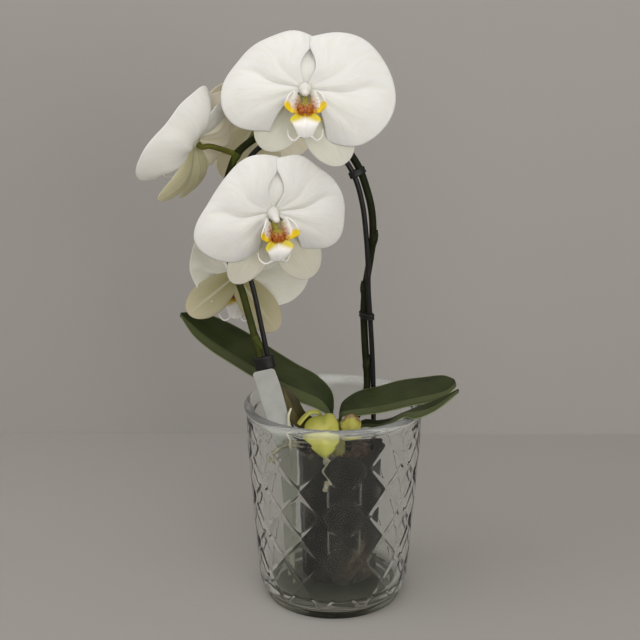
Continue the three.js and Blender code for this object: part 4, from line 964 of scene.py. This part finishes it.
def ear_shell(side):
    """One ear of the lip."""
    a, b = grid(26, 30)
    in_from_end = (2 * b - 1) ** 4
    across = a * (1 - 0.24 * in_from_end)
    down = 0.5 + (b - 0.5) * (1 - 0.36 * a**4)
    lines = np.stack([along(np.array(line, float), down) for line in EAR_CORNERS])
    corner = across * 2
    weights = np.stack([np.clip(1 - corner, 0, 1), 1 - np.abs(corner - 1), np.clip(corner - 1, 0, 1)])
    weights = weights**2 * (3 - 2 * weights)
    sheet = (lines * (weights / weights.sum(0))[..., None]).sum(0)
    sheet = sheet * (side, 1, 1)
    sheet[..., 2] += 0.3 * np.sin(9 * b + 5 * a) * a
    if side < 0:
        sheet, a, b = sheet[:, ::-1], a[:, ::-1], b[:, ::-1]
    yellow = np.clip((b - 0.6 - 0.1 * np.sin(6 * a)) / 0.14, 0, 1)
    tint = paint(LIP_WHITE, LIP_YELLOW, yellow)
    # Painted shade: the ear's base, in the cavity between the ears, goes olive.
    tint = paint(LIP_OLIVE_AND_SHADE, tint, a * 2.6 + b * 0.4 - 0.2)
    tint = paint(LIP_AMBER, tint, a * 2.4 + 0.6 - 1.2 * b + yellow * a)
    specks = np.clip(1.1 - 2.2 * a, 0, 1) * np.clip(b * 2, 0, 1)
    return tinted_blade(sheet, a, b, 0.9, 0.35, tint, specks)


def lobe_shell():
    """The lip's middle lobe, widest near its base and cut off at its tip."""
    a, b = grid(40, 30)
    t = 2 * b - 1
    half = along((3.4, 9, 7.4, 5.8, 4.4), a)
    down = along((-13.6, -19, -22.6, -26, -29), a) + 1.2 * t**2
    out = along((9.6, 12.6, 13, 11.6, 9.4), a) + 0.16 * half * t**2 - 0.5 * bell(t, 0, 0.15)
    sheet = np.stack([half * t, down, out], -1)
    tint = paint(LIP_YELLOW * (0.75, 0.85, 1.5), LIP_WHITE, (a - 0.06 - 0.26 * np.abs(t)) / 0.16)
    tint = paint(LIP_AMBER, tint, a / 0.16)
    return tinted_blade(sheet, a, b, 1.0, 0.4, tint, np.clip(1 - a / 0.2, 0, 1))


def cushion_shell():
    """The fleshy cushion between the ears, notched along its middle."""
    turn = np.linspace(CUSHION_OPENING, math.pi - CUSHION_OPENING, 22)
    points, faces = turned([(math.sin(t), -math.cos(t)) for t in turn], 28)
    x, y, z = points.T
    notch = 1 - 0.16 * bell(x, 0, 0.22) * np.clip(z + 0.4, 0, 1)
    knobs = 1 + 0.05 * np.sin(7 * x + 2) * np.sin(8 * y)
    points = points * CUSHION_SIZE * (notch * knobs)[:, None] + CUSHION_PLACE
    # Painted shade: the cushion's top, under the column, goes olive.
    colour = paint(LIP_AMBER, LIP_OLIVE_AND_SHADE * 1.1, (y - 0.25) / 0.7)
    colour = paint(colour, LIP_YELLOW * 0.85, (-y - 0.45) / 0.5)
    return points, faces, np.c_[x, y] * 0.5 + 0.5, np.c_[colour, np.clip(1.2 - np.abs(y), 0, 1)]


def stem_shell(route, radii, colour, sides=12):
    """A short round stem in one colour."""
    share = np.linspace(0, 1, 40)
    points, faces, uv = round_stem(smooth_route(route, len(share)), np.interp(share, *radii), sides)
    return points, faces, uv, np.tile(np.r_[colour, 0], (len(points), 1))


lip_tissue, tree, shader = new_finish("lip_tissue", Roughness=0.36, Specular_IOR_Level=0.4)
painted = own_tint(tree)
speckle = ramp(tree, object_noise(tree, 800, 1), (0.5, 0.0), (0.6, 1.0))
speckled = number(tree, "MULTIPLY", speckle, painted["Alpha"])
feed(shader, Base_Color=mix_colours(tree, speckled, painted[0], (0.16, 0.02, 0.008)))
bump(tree, shader, object_noise(tree, 600, 2), 0.3, 0.0004)

shells = [cushion_shell(), ear_shell(1), ear_shell(-1), lobe_shell()]
shells.append(stem_shell([(0, -11, 9), (0, -8, 7), (0, -4.6, 4.2)], ((0, 1), (2.2, 1.8)), LIP_OLIVE_AND_SHADE))
for side in (-1, 1):
    thread = [(side * 3.4, -28, 10.4), (side * 7, -30.6, 6.6), (side * 10, -28, 4), (side * 10.6, -24, 4.2)]
    shells.append(stem_shell(thread, ((0, 1), (0.75, 0.3)), LIP_WHITE, 8))
points, faces, uv, tint = joined(*shells)
for node, bloom in BLOOMS.items():
    turn, centre = bloom_place(bloom)
    lip = new_piece(node.replace("bloom_", "bloom_lip_"), points @ turn.T + centre, faces, lip_tissue, uv,
                    tint)
    keep(lip, node + "_lip")

# Flower spike
# The arched stem that carries the blooms, olive green and darker towards its foot, with a papery bract at
# each node and a thin stalk to the back of each bloom.
SPIKE_ROUTE = [
    (11, 10, 84), (11, 10, 102), (13, 11.4, 115), (18, 14.6, 126), (22.4, 17, 138), (22.7, 17.4, 150),
    (21.6, 17.2, 164), (20.6, 16.6, 180), (20, 15, 196), (21.2, 13.2, 214), (23.6, 11.2, 231),
    (25.2, 9, 246), (24.2, 7, 264), (20.6, 6, 279), (14.8, 5.4, 294), (5.2, 4.8, 307), (-5.6, 4.4, 315.2),
    (-18.7, 4.2, 319.2), (-31.4, 4.2, 318.2), (-43.8, 4.2, 314.6), (-54.6, 4.2, 308.4), (-62, 4, 301.4),
    (-66.6, 4, 291), (-69.6, 4, 280), (-72, 4, 265), (-71.6, 3.5, 249), (-67.6, 3, 231), (-60.6, 2.5, 213),
    (-56.6, 1.5, 198), (-53, 1, 184), (-50, 0.5, 171), (-47.6, 0, 160), (-45.8, -0.4, 153)]
SPIKE_RADIUS = 2.4
STALK_RADIUS = 1.7
STALK_ROUTES = {
    "bloom_top": [(-18.7, 4.2, 318.8), (-17, -2, 328), (-17.5, -12, 338)],
    "bloom_middle": [(-71.2, 4, 272), (-64, -4, 276), (-50, -14, 274)],
    "bloom_left": [(-63.6, 4, 301.6), (-72.6, -2, 305.6), (-79, -5.4, 307.6)],
    "bloom_back": [(-54.6, 4.2, 308.4), (-51, 16, 314), (-52, 38, 316)],
    "bloom_low": [(-70.6, 3.5, 244), (-68.6, 10, 232), (-67, 21, 221)],
}
BRACTS = (((22.2, 17.2, 156), (1, -0.3, 0)), ((21, 13, 208), (-1, -0.3, 0)), ((25, 9, 243), (1, -0.5, 0)),
          ((-52, 1, 182), (1, -0.4, 0)), ((-62, 4, 301.4), (0.2, -1, 0.2)))
BRACT_LENGTH = 9
SPIKE_STEPS = 520
STEM_DARK = np.array((0.012, 0.014, 0.004))
STEM_FRESH = np.array((0.04, 0.046, 0.008))
STALK_OLIVE = np.array((0.12, 0.12, 0.022))
BRACT_PALE = np.array((0.06, 0.075, 0.014))


def nearest(route, at):
    """The number of the route's point that lies nearest to a place."""
    return int(np.argmin(np.linalg.norm(route - at, axis=1)))


spike_route = smooth_route(SPIKE_ROUTE, SPIKE_STEPS)
spike_run = np.r_[0, np.cumsum(np.linalg.norm(np.diff(spike_route, axis=0), axis=1))]
nodes_at = [nearest(spike_route, at) for at, _ in BRACTS]
radii = np.full(SPIKE_STEPS, SPIKE_RADIUS)
for place in nodes_at:
    radii += 0.35 * bell(spike_run, spike_run[place], 2.2)
points, faces, uv = round_stem(spike_route, radii, 18)
fresh = np.clip((uv[:, 0] - 0.5) * 2.2, 0, 1)
shells = [(points, faces, uv, np.c_[paint(STEM_DARK, STEM_FRESH, fresh), np.ones(len(points))])]
for node, route in STALK_ROUTES.items():
    bloom = BLOOMS[node]
    turn, centre = bloom_place(bloom)
    end = centre - turn[:, 2] * 3.9
    shells.append(stem_shell([*route, end - turn[:, 2] * 3, end],
                             ((0, 0.1, 0.9, 1), (2.2, 1.8, STALK_RADIUS, 2.1)), STALK_OLIVE))
for place, (at, out) in zip(nodes_at, BRACTS):
    beyond = int(np.argmin(np.abs(spike_run - spike_run[place] - BRACT_LENGTH)))
    away = np.array(out, float) / np.linalg.norm(out)
    tip = spike_route[beyond] + away * 3.2
    middle = (spike_route[place] + tip) / 2 + away * 0.3
    colour = BRACT_PALE if place > SPIKE_STEPS / 2 else STEM_DARK * 1.3
    radii = ((0, 0.3, 0.7, 1), (2.9, 2.6, 1.4, 0.3))
    shells.append(stem_shell([spike_route[place], middle, tip], radii, colour, 16))
points, faces, uv, tint = joined(*shells)

stem_skin, tree, shader = new_finish("stem_skin", Roughness=0.58, Specular_IOR_Level=0.12)
mottle = ramp(tree, object_noise(tree, 130, 4), (0.3, (0.62, 0.6, 0.55)), (0.7, (1.25, 1.25, 1.1)))
feed(shader, Base_Color=mix_colours(tree, 0.8, own_tint(tree)[0], mottle, "MULTIPLY"))
bump(tree, shader, object_noise(tree, 500, 3), 0.2, 0.0003)
keep(new_piece("flower_spike", points, faces, stem_skin, uv, tint), "flower_spike")

# Clip and ties
# A black plastic clip on the left leg and two soft black ties at the right and top. Each closes round the
# spike and the wire together.
BANDS = (("clip_left", (-48.2, 0.2, 163.6), 9, 2.0), ("tie_right", (20, 15, 193), 4, 1.2),
         ("tie_top", (16.6, 5.6, 290), 4.4, 0.9))
NEARER_SPIKE = 0.54

wire_route = smooth_route(WIRE_ROUTE, 800)
band_black, tree, shader = new_finish("band_black", Roughness=0.45, Specular_IOR_Level=0.3)
worn = object_noise(tree, 350, 3)
feed(shader, Base_Color=ramp(tree, worn, (0.3, (0.004, 0.004, 0.004)), (0.8, (0.013, 0.013, 0.012))))
bump(tree, shader, worn, 0.2, 0.0003)
for node, near, height, margin in BANDS:
    place = nearest(spike_route, near)
    on_spike = spike_route[place]
    on_wire = wire_route[nearest(wire_route, on_spike)]
    axis = spike_route[place + 1] - spike_route[place - 1]
    axis /= np.linalg.norm(axis)
    side = np.cross(axis, on_wire - on_spike)
    side /= np.linalg.norm(side)
    long_reach = np.linalg.norm(on_wire - on_spike) / 2 + SPIKE_RADIUS + margin
    short_reach = SPIKE_RADIUS + margin
    edge = 0.5 / height
    lower = [(0.1, -0.5), (0.8, -0.5), (0.93, -0.5 + edge * 0.3), (0.99, -0.5 + edge), (1, -0.5 + 2 * edge)]
    outline = [*lower, (0.985, -0.2), (0.965, 0), (0.985, 0.2), *((r, -z) for r, z in lower[::-1])]
    points, faces = turned(outline, 44)
    points = points * (long_reach, short_reach, height) @ np.array([np.cross(side, axis), side, axis])
    middle = on_spike * NEARER_SPIKE + on_wire * (1 - NEARER_SPIKE)
    name = node.replace("_left", "_black").replace("tie_", "stem_tie_")
    keep(new_piece(name, points + middle, faces, band_black), node)

# Studio
# A plain pale floor with a wall behind it, broad soft lamps in front and above, and smaller ones at both
# sides. Floor and wall are open to the eye from behind, so that they hide nothing in a view from the back.
FLOOR_SIZE = 6.0
WALL_AT = 0.297
WALL_HEIGHT = 4.0
ROOM_GLOW = 0.37
LAMP_AIM = Vector((-0.02, 0, 0.2))
LAMPS = (("soft_front", (0.1, -1.6, 0.95), 1.4, 11.5, (1, 0.985, 0.96)),
         ("soft_right", (0.95, -1.35, 0.4), 1.2, 10, (1, 0.985, 0.96)),
         ("soft_top", (-0.3, -0.2, 1.5), 1.4, 8, (1, 0.98, 0.95)),
         ("soft_left", (-1.3, -0.6, 0.8), 1.0, 3.5, (1, 0.99, 0.97)))
LENS_LENGTH = 67.5
FILM_WIDTH = 36
CAMERA_PLACE = (-0.00926, -0.7597, 0.4024)
CAMERA_DOWN = 15.41

for name, colour, (near, low), (far, high) in (
        ("studio_floor", (0.37, 0.35, 0.33), (-FLOOR_SIZE, 0), (WALL_AT, 0)),
        ("studio_wall", (0.35, 0.33, 0.31), (WALL_AT, 0), (WALL_AT, WALL_HEIGHT))):
    matt, tree, shader = new_finish(name, Roughness=0.8)
    darker = tuple(0.96 * part for part in colour)
    feed(shader, Base_Color=mix_colours(tree, object_noise(tree, 3, 2), darker, colour))
    behind = add_node(tree, "ShaderNodeNewGeometry").outputs["Backfacing"]
    lay_over(matt, behind, add_node(tree, "ShaderNodeBsdfTransparent"))
    mesh = bpy.data.meshes.new(name)
    corners = [(-FLOOR_SIZE, near, low), (FLOOR_SIZE, near, low), (FLOOR_SIZE, far, high),
               (-FLOOR_SIZE, far, high)]
    mesh.from_pydata(corners, [], [(0, 1, 2, 3)])
    mesh.materials.append(matt)
    sheet = put_in_scene(name, mesh)

world = bpy.data.worlds.new("soft_room")
bpy.context.scene.world = world
world.use_nodes = True
feed(world.node_tree.nodes["Background"], Color=(0.97, 0.97, 0.97), Strength=ROOM_GLOW)

for name, place, width, power, colour in LAMPS:
    lamp = bpy.data.lights.new(name, "AREA")
    lamp.shape = "SQUARE"
    lamp.size = width
    lamp.energy = power
    lamp.color = colour
    light = put_in_scene(name, lamp)
    light.location = place
    light.rotation_euler = (LAMP_AIM - light.location).to_track_quat("-Z", "Y").to_euler()

lens = bpy.data.cameras.new("photo_camera")
lens.lens = LENS_LENGTH
lens.sensor_width = FILM_WIDTH
lens.dof.use_dof = False
camera = put_in_scene("photo_camera", lens)
camera.location = CAMERA_PLACE
camera.rotation_euler = (math.radians(90 - CAMERA_DOWN), 0, 0)
bpy.context.scene.camera = camera
bpy.context.scene.view_settings.view_transform = "Standard"
